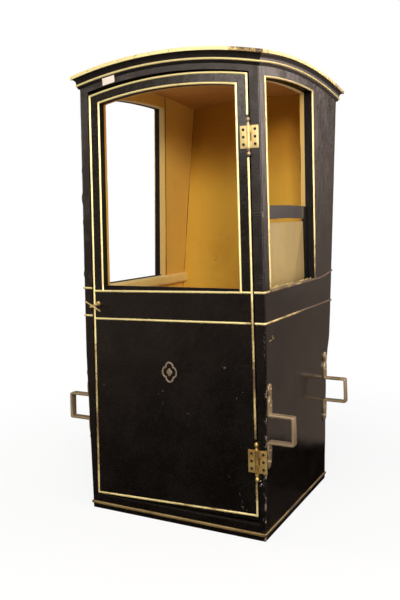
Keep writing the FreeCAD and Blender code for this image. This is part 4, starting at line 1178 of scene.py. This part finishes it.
def bracket_line():
    """The middle line of the strap in the front view, from its upper tip to its lower one."""
    half = STRAP / 2
    top, foot, out = 0.412 - half, 0.316 + half, STRAP_REACH - half
    upper = [(wall_x(z) + half, z) for z in np.linspace(0.510, top + 0.010, 34)]
    lower = [(wall_x(z) + half, z) for z in np.linspace(foot - 0.010, 0.232, 30)]
    bend = 0.004
    square = []
    for (x, z), (dx1, dz1), (dx2, dz2) in (
            ((wall_x(top) + half, top), (0, 1), (1, 0)), ((out, top), (-1, 0), (0, -1)),
            ((out, foot), (0, 1), (-1, 0)), ((wall_x(foot) + half, foot), (1, 0), (0, -1))):
        for share in (0.0, 0.5, 1.0):
            a, b = (1 - share) ** 2, share ** 2
            square.append((x + bend * (a * dx1 + b * dx2), z + bend * (a * dz1 + b * dz2)))
    return np.array(upper + square + lower)


line = bracket_line()
length = np.concatenate([[0], np.cumsum(np.hypot(*np.diff(line, axis=0).T))])
from_end = length[-1] - length
leaf_shape = np.interp(length, [0, .003, .010, .020, .030, .036, .044, .056, .066, .080],
                       [.10, .62, .98, 1.0, .72, .50, .62, .92, 1.0, 1.0])
point_shape = np.interp(from_end, [0, .004, .014, .026, .034, .046, .058],
                        [.12, .40, .80, .95, .72, .92, 1.0])
breadth = STRAP_WIDTH / 2 * np.minimum(leaf_shape, point_shape)
thick = STRAP / 2 * np.clip(np.minimum(np.interp(length, [0, .004, .03], [.35, .7, 1]),
                                       np.interp(from_end, [0, .004, .03], [.35, .7, 1])), 0, 1)
turns = circle(20) + np.pi / 20
square_cos, square_sin = (np.sign(f(turns)) * abs(f(turns)) ** 0.28 for f in (np.cos, np.sin))
nail = [(0.0048, 0.0), (0.0048, 0.0008), (0.0038, 0.0020), (0.0018, 0.0027)]
for end in ("front", "rear"):
    for side, sign in (("left", -1), ("right", 1)):
        node = f"pole_bracket_{end}_{side}"
        low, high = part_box(node)
        y_middle = (low[1] + high[1]) / 2
        path = at(line[:, 0], y_middle, line[:, 1])
        path[:, 0] -= (STRAP / 2 - thick) * ((length < .1) | (from_end < .06))
        hammered = 1 + waves(path, 81 + sign + len(end), 0.03, 0.025)
        sections = np.minimum(hammered, 1)[:, None, None] * np.stack([
            thick[:, None] * square_cos, breadth[:, None] * square_sin], -1)
        strap = carried(path, mitres(path, -OUTWARD, False), -OUTWARD, sections)
        nails = [turned(nail, (wall_x(z) + t, y_middle, z), SIDEWARD, 12)
                 for z, t in ((0.492, .0078), (0.440, .0080), (0.292, .0080), (0.256, .0075))]
        points, faces = joined(strap, *nails)
        make_piece(node + "_forged", (points * (sign, 1, 1), faces), "cabin",
                   bronzed_iron, [node], sharp=40)

# %% [markdown]
# ### Nails of the roof strip
# Small domed nails hold the strip. They sit a hand's width apart, not quite evenly, as nails
# set by eye do.

# %% Nails
nail_head = [(0.0021, -0.0004), (0.0021, 0.0001), (0.0016, 0.0007), (0.0006, 0.0009)]
NAILED = OVERHANG - 0.0010
nail_places = []
for place in PLACES:
    for where in np.linspace(-0.378, 0.378, 12) + 0.006 * np.sin(np.arange(12) * 2.3):
        along = where * (1 if place in ACROSS_X else EDGE_Y / EDGE_X)
        nail_places.append(turned(nail_head, *on_edge(place, along, NAILED, 0.0065), 10))
make_piece("roof_strip_nails", joined(*nail_places), "cabin", dull_gilt)

# %% [markdown]
# ### Chips and scratches
# Blows have broken the black surface in small places: along the hinge-side corner, under the
# lower hinge and across the door. Each chip is a thin scale with a ragged outline, radius =
# 1 + a random share, drawn out to its width and height and turned by its lean.

# %% Chips
def flake(across, z, wide, tall, seed, lean=0.0, side=False):
    """A scale on the front face, or on the hinge side when side is true."""
    dice = np.random.default_rng(seed)
    around = circle(9) + dice.uniform(0, 0.5, 9)
    radius = dice.uniform(0.55, 1.15, 9)
    a, b = wide / 2 * radius * np.cos(around), tall / 2 * radius * np.sin(around)
    outline = np.stack([across + a * np.cos(lean) - b * np.sin(lean),
                        z + a * np.sin(lean) + b * np.cos(lean)], -1)
    if side:
        face = wall_x(z) + HIDE
        return plate(outline, face - 0.0012, face + 0.0013, 0.0003, (1, 2), 0)
    return plate(outline, FRONT - HIDE + 0.0012, FRONT - HIDE - 0.0009, 0.0003)


def make_chip(name, colour, spare):
    material, shader = new_material(name)
    speck = noise(object_place(), 600.0, 3.0, 0.7)
    finish_inputs(shader, {
        "Base Color": mixed(spread(speck, 0.35, 0.65), colour, spare),
        "Roughness": 0.7, "Normal": bumped(speck, 0.0003, 0.5)})
    return material


dull_chip = make_chip("dull chip", (0.050, 0.042, 0.036), (0.016, 0.013, 0.011))
fresh_chip = make_chip("fresh chip", (0.52, 0.48, 0.43), (0.16, 0.13, 0.10))
door_marks = [(0.2116, 0.5564, .015, .0034, -.2), (0.200, 0.559, .006, .002, .3),
              (-0.0316, 0.4555, .0075, .0034, 0), (-0.0353, 0.411, .0085, .0036, .2),
              (0.0664, 0.3867, .013, .0026, -.1), (-0.283, 0.456, .003, .005, 0),
              (0.252, 0.457, .003, .009, .2), (0.274, 0.479, .004, .005, 0),
              (-0.050, 0.4435, .008, .0018, .3), (0.254, 0.141, .003, .010, .4),
              (0.262, 0.118, .002, .012, .2), (0.218, 0.194, .004, .003, 0),
              (0.278, 0.092, .003, .007, -.3)]
make_piece("door_chips",
    joined(*[flake(*mark[:4], 200 + k, mark[4]) for k, mark in enumerate(door_marks)]), "door",
    dull_chip)
dice = np.random.default_rng(12)
corner_z = np.sort(dice.uniform(0.03, 0.70, 26))
corner_chips = [flake(wall_x(z) - dice.uniform(0.004, 0.007), z, dice.uniform(.0014, .0034),
                      .003 + .016 * dice.uniform() ** 2, 300 + k, dice.uniform(-.5, .5))
                for k, z in enumerate(corner_z)]
corner_chips += [flake(-0.4000 + 0.005 * k, 0.640 + 0.004 * k, .004, .006, 340 + k, side=True)
                 for k in range(2)]
make_piece("corner_chips", joined(*corner_chips), "cabin", dull_chip)
make_piece("hinge_foot_chips", joined(flake(0.3300, 0.1960, .0060, .0052, 351, .4),
    flake(0.3335, 0.1865, .0044, .0066, 352), flake(0.3290, 0.1800, .0030, .0040, 353, .6),
    flake(0.3440, 0.2190, .0034, .0060, 354)), "cabin", fresh_chip)
make_piece("side_scratch", joined(
    flake(-0.392, 0.6480, .030, .0036, 361, .05, side=True),
    flake(-0.366, 0.6510, .022, .0030, 362, .12, side=True),
    flake(-0.372, 0.6590, .006, .0030, 363, .9, side=True)), "cabin", dull_gilt)

# %% [markdown]
# ### The ornament and the label
# The middle of the door carries a small applied quatrefoil, a common coach maker's motif, dulled
# to brown. A blank paper slip is pasted over the latch-side end of the frieze.

# %% Ornament and label
turn = circle(96)
petal = 0.022 + 0.008 * abs(np.cos(2 * turn)) ** 0.8
ring_line = at(-0.004 + 0.92 * petal * np.cos(turn), FRONT - 0.0006,
               0.523 + 1.12 * petal * np.sin(turn))
angles = np.linspace(0, np.pi, 7)
flat_section = np.concatenate([np.stack([0.0036 * np.cos(angles), 0.0018 * np.sin(angles)], -1),
                               [(-0.0036, -0.0008), (0.0036, -0.0008)]])
ring = carried(ring_line, mitres(ring_line, OUTWARD, True), OUTWARD, flat_section, True)
small = 0.0085 * (1 + 0.35 * abs(np.cos(2 * turn)))
lozenge = plate(np.stack([-0.004 + small * np.cos(turn), 0.523 + 1.2 * small * np.sin(turn)], -1),
                FRONT - 0.0004, FRONT - 0.0026, 0.0012)
make_piece("door_ornament", joined(ring, lozenge), "door", rubbed)

slip_u, slip_v = np.meshgrid(np.linspace(-1, 1, 13), np.linspace(-1, 1, 6))
slip_x = -0.2275 + 0.026 * slip_u
slip_z = front_arch(slip_x, 0.0579) + 0.0125 * slip_v
curl = 0.0005 * slip_v ** 2 * slip_u
slip_front = at(slip_x, FRONT - 0.0042 - 0.0030 * np.maximum(slip_v + 0.1, 0) - abs(curl), slip_z)
make_piece("paper_slip", skin(slip_front, slip_front + (0, 0.0006, 0)), "cabin", paper)

# %% [markdown]
# ## The silk
# The linings are silk over a thin pad, nailed round the edges. They are made as padded skins
# whose inner face swells softly between its nails. Where tufts once were, small dimples stay.

# %% Silk linings
def padded_skin(name, faces, kept, node, seed, dimples=(), material=silk):
    """A pad between the wall and the room. Of its two faces the passenger sees the first."""
    inner_face, outer_face = faces
    towards = unit(inner_face - outer_face)
    puff = waves(inner_face, seed, 0.22, 0.0009) + waves(inner_face, seed + 1, 0.06, 0.0003)
    dent = spots(inner_face, dimples, 0.012)
    face = inner_face + towards * (puff - 0.0012 - 0.004 * dent)[..., None]
    body = "door" if node == "door_lining" else "cabin"
    # Round each dimple a painted value darkens the silk: painted shade in the hollow.
    made = make_piece(name, skin(face, outer_face, kept), body, material, [node],
                      values={"scuffs_and_shade": 0.5 * spots(inner_face, dimples, 0.007)})


t_lining, s_lining = steps(44, 40, 8), steps(30, 24)
lining_share = np.where(s_lining >= 2, 1, s_lining % 1)
for side, sign in (("left", -1), ("right", 1)):
    layers = []
    for depth in (SKIN_LINE, WALL + 0.0002):
        z = between(t_lining, [FLOOR + 0.001, SILL, 1.52, 1.55 + 0 * s_lining])
        for _ in range(3):
            start, window_y = POST_BACK + 0.0005, window_rear(z)
            end = rear_y(z) - SKIN_LINE + 0.003
            y = np.where(s_lining < 1, start + (window_y - start) * lining_share,
                         window_y + (end - window_y) * lining_share)
            z = between(t_lining, [
                FLOOR + 0.001, SILL, window_head(np.clip(y, POST_BACK, WINDOW_HEAD)),
                roof_top(HALF - SKIN_LINE, y, 0.046)])
        layers.append(at(sign * (wall_x(z) - depth), y, z))
    padded_skin(f"side_silk_{side}", layers, kept_cells(t_lining, s_lining, (1, 0)),
                f"lining_{side}", 91 + sign,
                [(sign * 0.308, 0.18, 1.2, .8), (sign * 0.308, 0.2, 0.95, .7)], window_lit_silk)

u_back = np.linspace(-1, 1, 90)
z_back = np.linspace(FLOOR + 0.001, roof_top(0.2, 0.36, 0.050), 190)[:, None]
layers = [at(u_back * (wall_x(z_back) - WALL - 0.0005), rear_y(z_back) - depth, z_back)
          for depth in (SKIN_LINE, WALL + 0.0002)]
tufts = [(x, rear_y(z) - SKIN_LINE, z, 0.8) for x, z in (
    (-0.097, 0.963), (0.139, 0.960), (-0.157, 0.876), (0.194, 0.873))]
padded_skin("back_silk", layers, None, "lining_back", 95, tufts)
button = [(0.0062, 0.0), (0.0064, 0.0012), (0.0058, 0.0026), (0.0040, 0.0036), (0.0014, 0.0041)]
make_piece("lining_buttons", joined(*[turned(button, (x, y + 0.0035, z), (0, -1, 0.2), 16)
                                      for x, y, z, depth in tufts]), "cabin", silk)

ceiling_low, ceiling_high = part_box("ceiling_lining")
x_ceiling = np.linspace(ceiling_low[0], ceiling_high[0], 60)
y_ceiling = np.linspace(ceiling_low[1], ceiling_high[1], 60)[:, None]
layers = [at(x_ceiling, y_ceiling, roof_top(x_ceiling, y_ceiling, drop))
    for drop in (0.058, 0.0462)]
padded_skin("ceiling_silk", layers, None, "ceiling_lining", 97)

LEAF_DEPTH = 0.026
z_lining = between(t_door, [door_lines[0] + 0.0004, *door_lines[1:]])
layers = [at(x_door, FRONT + LEAF_DEPTH + depth, z_lining) for depth in (0.014, 0.0002)]
padded_skin("door_silk", layers, door_kept, "door_lining", 99)

# %% [markdown]
# A padded ledge runs along each side under the window, from the front post to the back. It is
# covered in silk that the sun has faded. Its section is flat on top and rounded below, and the
# cover is pulled into soft folds, which are waves drawn out along its length.

# %% Arm ledges
ledge_y = np.linspace(POST_BACK + 0.001, rear_y(0.79) - SKIN_LINE + 0.004, 90)
turns = np.linspace(0, np.pi / 2, 8)
ledge_section = np.concatenate([
    [(0.006, 0.0018), (0.012, 0.0014)],
    np.stack([0.012 + 0.005 * np.sin(turns), -0.003 - 0.005 * (1 - np.cos(turns)) + 0.003], -1),
    np.stack([0.004 + 0.013 * np.cos(turns), -0.024 - 0.014 * np.sin(turns)], -1),
    [(-0.0010, -0.038)]])
wide_end = [(-SKIN_LINE + 0.0005, 0.0002), (-SKIN_LINE + 0.001, 0.0016), (-0.026, 0.0022)]
narrow_end = [(-0.0010, 0.0), (-0.0005, 0.0012), (0.003, 0.0016)]
for side, sign, outer_end in (("left", -1, wide_end), ("right", 1, narrow_end)):
    path = at(sign * (HALF - SKIN_LINE), ledge_y, SILL)
    points, faces = carried(path, -sign * SIDEWARD, UP, np.concatenate([outer_end, ledge_section]))
    folds = waves(points * (1, 0.25, 1.6), 101, 0.05, 0.0010)
    seam_dip = 0.0022 * np.exp(-((points[:, 1] + 0.153) / 0.0025) ** 2)
    proud = np.clip((HALF - SKIN_LINE - abs(points[:, 0])) / 0.01, 0, 1)
    points = points - ((folds - seam_dip) * proud)[:, None] * sign * SIDEWARD
    made = make_piece(f"arm_ledge_{side}", (points, faces), "cabin", pale_silk, sharp=60)

# %% [markdown]
# ### The tapes
# A pale woven tape covers the nailed edge of the silk round each window. It is a thin flat
# strip carried round the opening's rim, narrower on the hinge side. Behind the window two
# lengths of silk meet in a folded seam that runs up to the ceiling, a thin strip of silk that
# is coloured nearly black as painted shade in the fold.

# %% Tapes round the windows
for side, sign, tape_wide in (("left", -1, 0.024), ("right", 1, 0.0155)):
    y_loop = np.linspace(WINDOW_HEAD, POST_BACK + 0.001, 40)
    x_tape = HALF - SKIN_LINE + 0.0035 + tape_wide / 2
    loop = looped(at(x_tape, y_loop, window_head(y_loop)), *(
        (x_tape, y, SILL) for y in (POST_BACK + 0.001, WINDOW_FOOT))) * (sign, 1, 1)
    inwards = mitres(loop, SIDEWARD, True)
    if np.sum(inwards * (loop.mean(0) - loop)) < 0:
        inwards = -inwards
    flat = np.array([(-.5, 0), (-.5, .0009), (-.25, .0012), (0, .0009), (.25, .0012), (.5, .0009),
                     (.5, 0)]) * (tape_wide, 1)
    make_piece(f"window_tape_{side}", carried(loop, SIDEWARD, inwards, flat, True), "cabin",
        tape, sharp=60)
    z_seam = np.linspace(SILL + 0.004, roof_top(HALF - SKIN_LINE, WINDOW_HEAD, 0.062), 60)
    seam = at(sign * (wall_x(z_seam) - SKIN_LINE - 0.0004), 0.0035 + window_rear(z_seam), z_seam)
    fold = np.array([(-0.0014, -0.001), (-0.0010, 0.0011), (0.0, 0.0015), (0.0010, 0.0011),
                     (0.0014, -0.001)])
    # The seam's strip is coloured dark as painted shade in the fold.
    make_piece(f"lining_seam_{side}", carried(seam, -OUTWARD, -sign * SIDEWARD, fold), "cabin",
        fold_shade_silk, sharp=60)

# %% [markdown]
# ### The seat cushion
# The cushion is made as a real one behaves: a closed cloth, filled by pressure, that bulges
# between its seams. The cloth starts a little small, runs for twenty frames without gravity,
# and no point may travel further than a set limit.

# %% Seat cushion
low, high = (np.array(v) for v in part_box("seat_cushion"))


def cushion_blank(inset):
    """A rounded block between the cushion's corners, drawn in by inset."""
    work = bmesh.new()
    bmesh.ops.create_cube(work, size=1.0)
    size = high - low - 2 * inset
    size[2] = (high - low)[2] - 1.2 * inset
    bmesh.ops.scale(work, vec=size, verts=work.verts)
    middle = (low + high) / 2
    bmesh.ops.translate(work, vec=middle, verts=work.verts)
    bmesh.ops.bevel(
        work, geom=work.edges[:], offset=0.014, segments=3, affect="EDGES", profile=0.6)
    mesh = bpy.data.meshes.new("seat_pad")
    work.to_mesh(mesh)
    work.free()
    return placed("seat_pad", mesh)


def swollen(pad, limit):
    """Remesh, inflate as cloth for twenty frames, and keep each point within the limit."""
    bpy.context.view_layer.objects.active = pad
    pad.select_set(True)
    remesh = pad.modifiers.new("remesh", "REMESH")
    remesh.mode, remesh.voxel_size = "VOXEL", 0.009
    bpy.ops.object.modifier_apply(modifier=remesh.name)
    start = np.zeros(len(pad.data.vertices) * 3)
    pad.data.vertices.foreach_get("co", start)
    cloth = pad.modifiers.new("cloth", "CLOTH")
    cloth.settings.use_pressure = True
    cloth.settings.uniform_pressure_force = 4
    cloth.settings.effector_weights.gravity = 0
    cloth.settings.quality = 5
    for number in range(1, 21):
        bpy.context.scene.frame_set(number)
    graph = bpy.context.evaluated_depsgraph_get()
    settled = pad.evaluated_get(graph).to_mesh()
    after = np.zeros(len(settled.vertices) * 3)
    settled.vertices.foreach_get("co", after)
    pad.evaluated_get(graph).to_mesh_clear()
    pad.modifiers.remove(cloth)
    bpy.context.scene.frame_set(1)
    move = (after - start).reshape(-1, 3)
    far = np.linalg.norm(move, axis=1, keepdims=True)
    move *= np.minimum(1, limit / np.maximum(far, 1e-9))
    return start.reshape(-1, 3) + move


seat_pad = cushion_blank(0.010)
points = swollen(seat_pad, 0.010)
points[:, 2] = np.maximum(points[:, 2], low[2] + 0.0003)
seat_pad.data.vertices.foreach_set("co", points.ravel())
seat_pad.data.update()
seat_pad.data.polygons.foreach_set("use_smooth", np.ones(len(seat_pad.data.polygons), bool))
seat_pad.data.materials.append(cushion_silk)
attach(seat_pad, "cabin")
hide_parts("seat_cushion")

# %% [markdown]
# ## The lowered sash
# The right-hand sash stands half lowered. Its top rail is slightly crowned, and the pane has
# slipped down in its rebate, so a thin gap of light shows above it.

# %% Sash and pane
sash_low, sash_high = (np.array(v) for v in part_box("sash_right"))
RAIL, STILE, CROWN = 0.047, 0.040, 0.004
s_sash, t_sash = steps(6, 30, 6), steps(4, 30, 6)
y_sash = np.interp(s_sash, range(4), [sash_low[1], sash_low[1] + STILE, sash_high[1] - STILE,
                                      sash_high[1]])
bow = CROWN * ((2 * (y_sash - sash_low[1]) / (sash_high[1] - sash_low[1]) - 1) ** 2)
z_sash = between(t_sash, [sash_low[2], sash_low[2] + RAIL, sash_high[2] - RAIL - bow,
                          sash_high[2] - bow])
sash_faces = [at(x, y_sash, z_sash) for x in (sash_high[0], sash_low[0])]
make_piece("right_sash", skin(*sash_faces, kept_cells(t_sash, s_sash, (1, 1))), "cabin",
           side_hide, ["sash_right"])
pane_low, pane_high = (np.array(v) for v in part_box("sash_glass_right"))
outline = rounded_box(pane_low[1] + 0.0005, pane_high[1] - 0.007, pane_low[2] + 0.0005,
                      pane_high[2] - 0.013, 0.001)
make_piece("right_pane", plate(outline, pane_low[0], pane_high[0], 0.0004, (1, 2), 0), "cabin",
           pane, ["sash_glass_right"])

# %% [markdown]
# ## Torn silk at the sill
# On the hinge side the silk that was folded over the sill has frayed. It is a thin strip whose
# upper edge is ragged: a sum of waves with sharp peaks, abs(sin) raised to a power.

# %% Frayed strip on the right sill
fray_y = np.linspace(POST_BACK + 0.002, WINDOW_FOOT - 0.004, 150)
peaks = sum(weight * abs(np.sin(fray_y * rate + shift)) ** power
    for weight, rate, shift, power in ((0.0035, 61, 0.4, 3), (0.0025, 143, 1.1, 2),
    (0.0015, 371, 2.0, 1)))
peaks *= 0.4 + 0.9 * np.exp(-((fray_y + 0.25) / 0.09) ** 2) + 0.5 * np.exp(
    -((fray_y - 0.02) / 0.05) ** 2)
lift_rows = np.linspace(0, 1, 5)[:, None]
lean = 0.002 * np.sin(fray_y * 47) * lift_rows ** 2
fray = at(HALF - 0.012 + lean, fray_y, SILL - 0.0005 + (0.0015 + peaks) * lift_rows)
make_piece("frayed_sill", skin(fray, fray - (0.0007, 0, 0)), "cabin", pale_silk)
bare_line = at(
    HALF - 0.0004, np.linspace(POST_BACK + 0.001, WINDOW_FOOT - 0.001, 60), SILL + 0.0001)
flat_edge = np.array([(-0.006, -0.0002), (-0.006, 0.0007), (-0.001, 0.0009), (0.0, 0.0),
    (-0.001, -0.0002)])
make_piece("bare_sill_edge", carried(
    bare_line, SIDEWARD, UP, flat_edge), "cabin", bare_wood)

# %% [markdown]
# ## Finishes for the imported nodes
# The timber nodes keep their shapes and get a finish each. Nodes that lie under a skin are
# painted black, as the wood round the openings is.

# %% Materials of the carried-over nodes
NODE_FINISHES = (
    (side_hide, ("cornice_right", "cornice_left")),
    (black_paint, (
        "front_post", "rear_post", "side_panel", "quarter_panel", "side_head_rail", "back_panel",
        "front_head_rail", "cornice_front", "cornice_rear", "sash_left", "door_stile",
        "door_panel", "door_head_rail", "door_sash", "base_frame", "seat_front")),
    (floor_wood, ("floor_board", "seat_board")))
for finish, starts in NODE_FINISHES:
    for name, thing in frame["nodes"].items():
        if name.startswith(starts):
            for held in thing.material_slots:
                held.material = finish

# %% [markdown]
# ## Light and ground
# The ground is a pale sheet that melts into a white room. The camera and light through glass
# see the ground and room as white, while the lamps and a faint room light set how bright the
# chair is. The main lamp is high on the hinge side, so the side is lighter than the front.
# Polished hide mirrors mostly dark room, with warm paper behind and a bright patch beyond.

# %% Ground
def rays_seen():
    """One for rays that see the white room itself, and one for mirrored rays."""
    rays = put("LightPath").outputs
    return higher(rays["Is Camera Ray"], rays["Is Transmission Ray"]), rays["Is Glossy Ray"]


REAR_PAPER, WARM = 0.27, (1.0, 0.76, 0.62)
ground_mesh = bpy.data.meshes.new("ground")
ground_mesh.from_pydata([(-8, -8, 0), (8, -8, 0), (8, 8, 0), (-8, 8, 0)], [], [(0, 1, 2, 3)])
ground = placed("ground", ground_mesh)
pale, shader = new_material("pale ground")
finish_inputs(shader, {"Base Color": (0.86, 0.86, 0.86, 1), "Roughness": 0.9,
    "Specular IOR Level": 0.0})
seen, glossy = rays_seen()
parts = put("SeparateXYZ", {0: object_place()}).outputs
leftward = times(spread(parts[0], -3.2, 0.2, 0.40, 0.02), maths("LESS_THAN", parts[1], 0.0))
beyond = plus(parts[1], times(parts[0], 0.41))
paper_edge = spread(beyond, 0.70, 0.86, 0.0, REAR_PAPER)
mirrored = times(glossy, plus(leftward, paper_edge))
glow = put("Emission", {"Strength": plus(seen, mirrored),
                        "Color": mixed(glossy, (1.0, 1.0, 1.0), WARM)})
away = put("VectorMath", {0: object_place()}, operation="LENGTH").outputs["Value"]
share = times(seen, spread(away, 0.7, 2.0, 0.85, 1.0))
share = plus(share, glossy, clamp=True)
mix_to_output(share, shader, glow)
ground_mesh.materials.append(pale)

# %% Room and lamps
world = bpy.data.worlds.new("room")
bpy.context.scene.world = world
world.use_nodes = True
current["tree"] = world.node_tree
seen, glossy = rays_seen()
AMBIENT = 0.17
way = put("SeparateXYZ", {0: put("TexCoord").outputs["Generated"]}).outputs
rear_paper = times(spread(way[1], -0.1, 0.35, 0.0, REAR_PAPER),
                   spread(way[2], 0.02, 0.20, 1.0, 0.70))
towards_right = spread(maths("DIVIDE", way[0], higher(way[1], 0.05)), 0.352, 0.43)
flash = times(towards_right, spread(way[2], -0.06, 0.18, 0.40, 3.2))
rear_paper = plus(rear_paper, flash)
left_wall = times(spread(way[0], -0.9, 0.1, 0.38, 0.05), spread(way[1], -0.1, 0.35, 1.0, 0.0))
mirrored = plus(rear_paper, left_wall)
strength = plus(times(seen, 1 - AMBIENT), AMBIENT)
strength = plus(strength, times(glossy, minus(mirrored, AMBIENT)))
background = world.node_tree.nodes["Background"].inputs
fill(background["Strength"], strength)
warmth = mixed(times(towards_right, 0.8), WARM, (1.0, 0.86, 0.82))
fill(background["Color"], mixed(glossy, (1.0, 1.0, 1.0), warmth))


def lamp(name, place, aim, size, watts, colour=(1, 1, 1)):
    """A square lamp that points from its place to its aim."""
    data = bpy.data.lights.new(name, "AREA")
    data.size, data.energy, data.color = size, watts, colour
    made = placed(name, data)
    made.location = place
    made.rotation_euler = (Vector(aim) - Vector(place)).to_track_quat("-Z", "Y").to_euler()


lamp("front lamp", (-0.70, -2.9, 2.05), (0.1, 0, 1.2), 0.8, 11, (1, 0.93, 0.86))
lamp("near lamp", (1.1, -3.0, 2.40), (0, 0.2, 0.95), 0.7, 36, (1, 0.93, 0.84))
lamp("right lamp", (1.70, -2.75, 2.05), (0.2, 0.1, 1.15), 0.6, 54, (1, 0.94, 0.87))
lamp("left lamp", (-3.0, -0.9, 1.9), (0.2, 0.25, 1.2), 0.8, 24, (1, 0.95, 0.88))
lamp("top lamp", (0.3, -0.2, 4.0), (0, 0, 1.2), 1.6, 80)
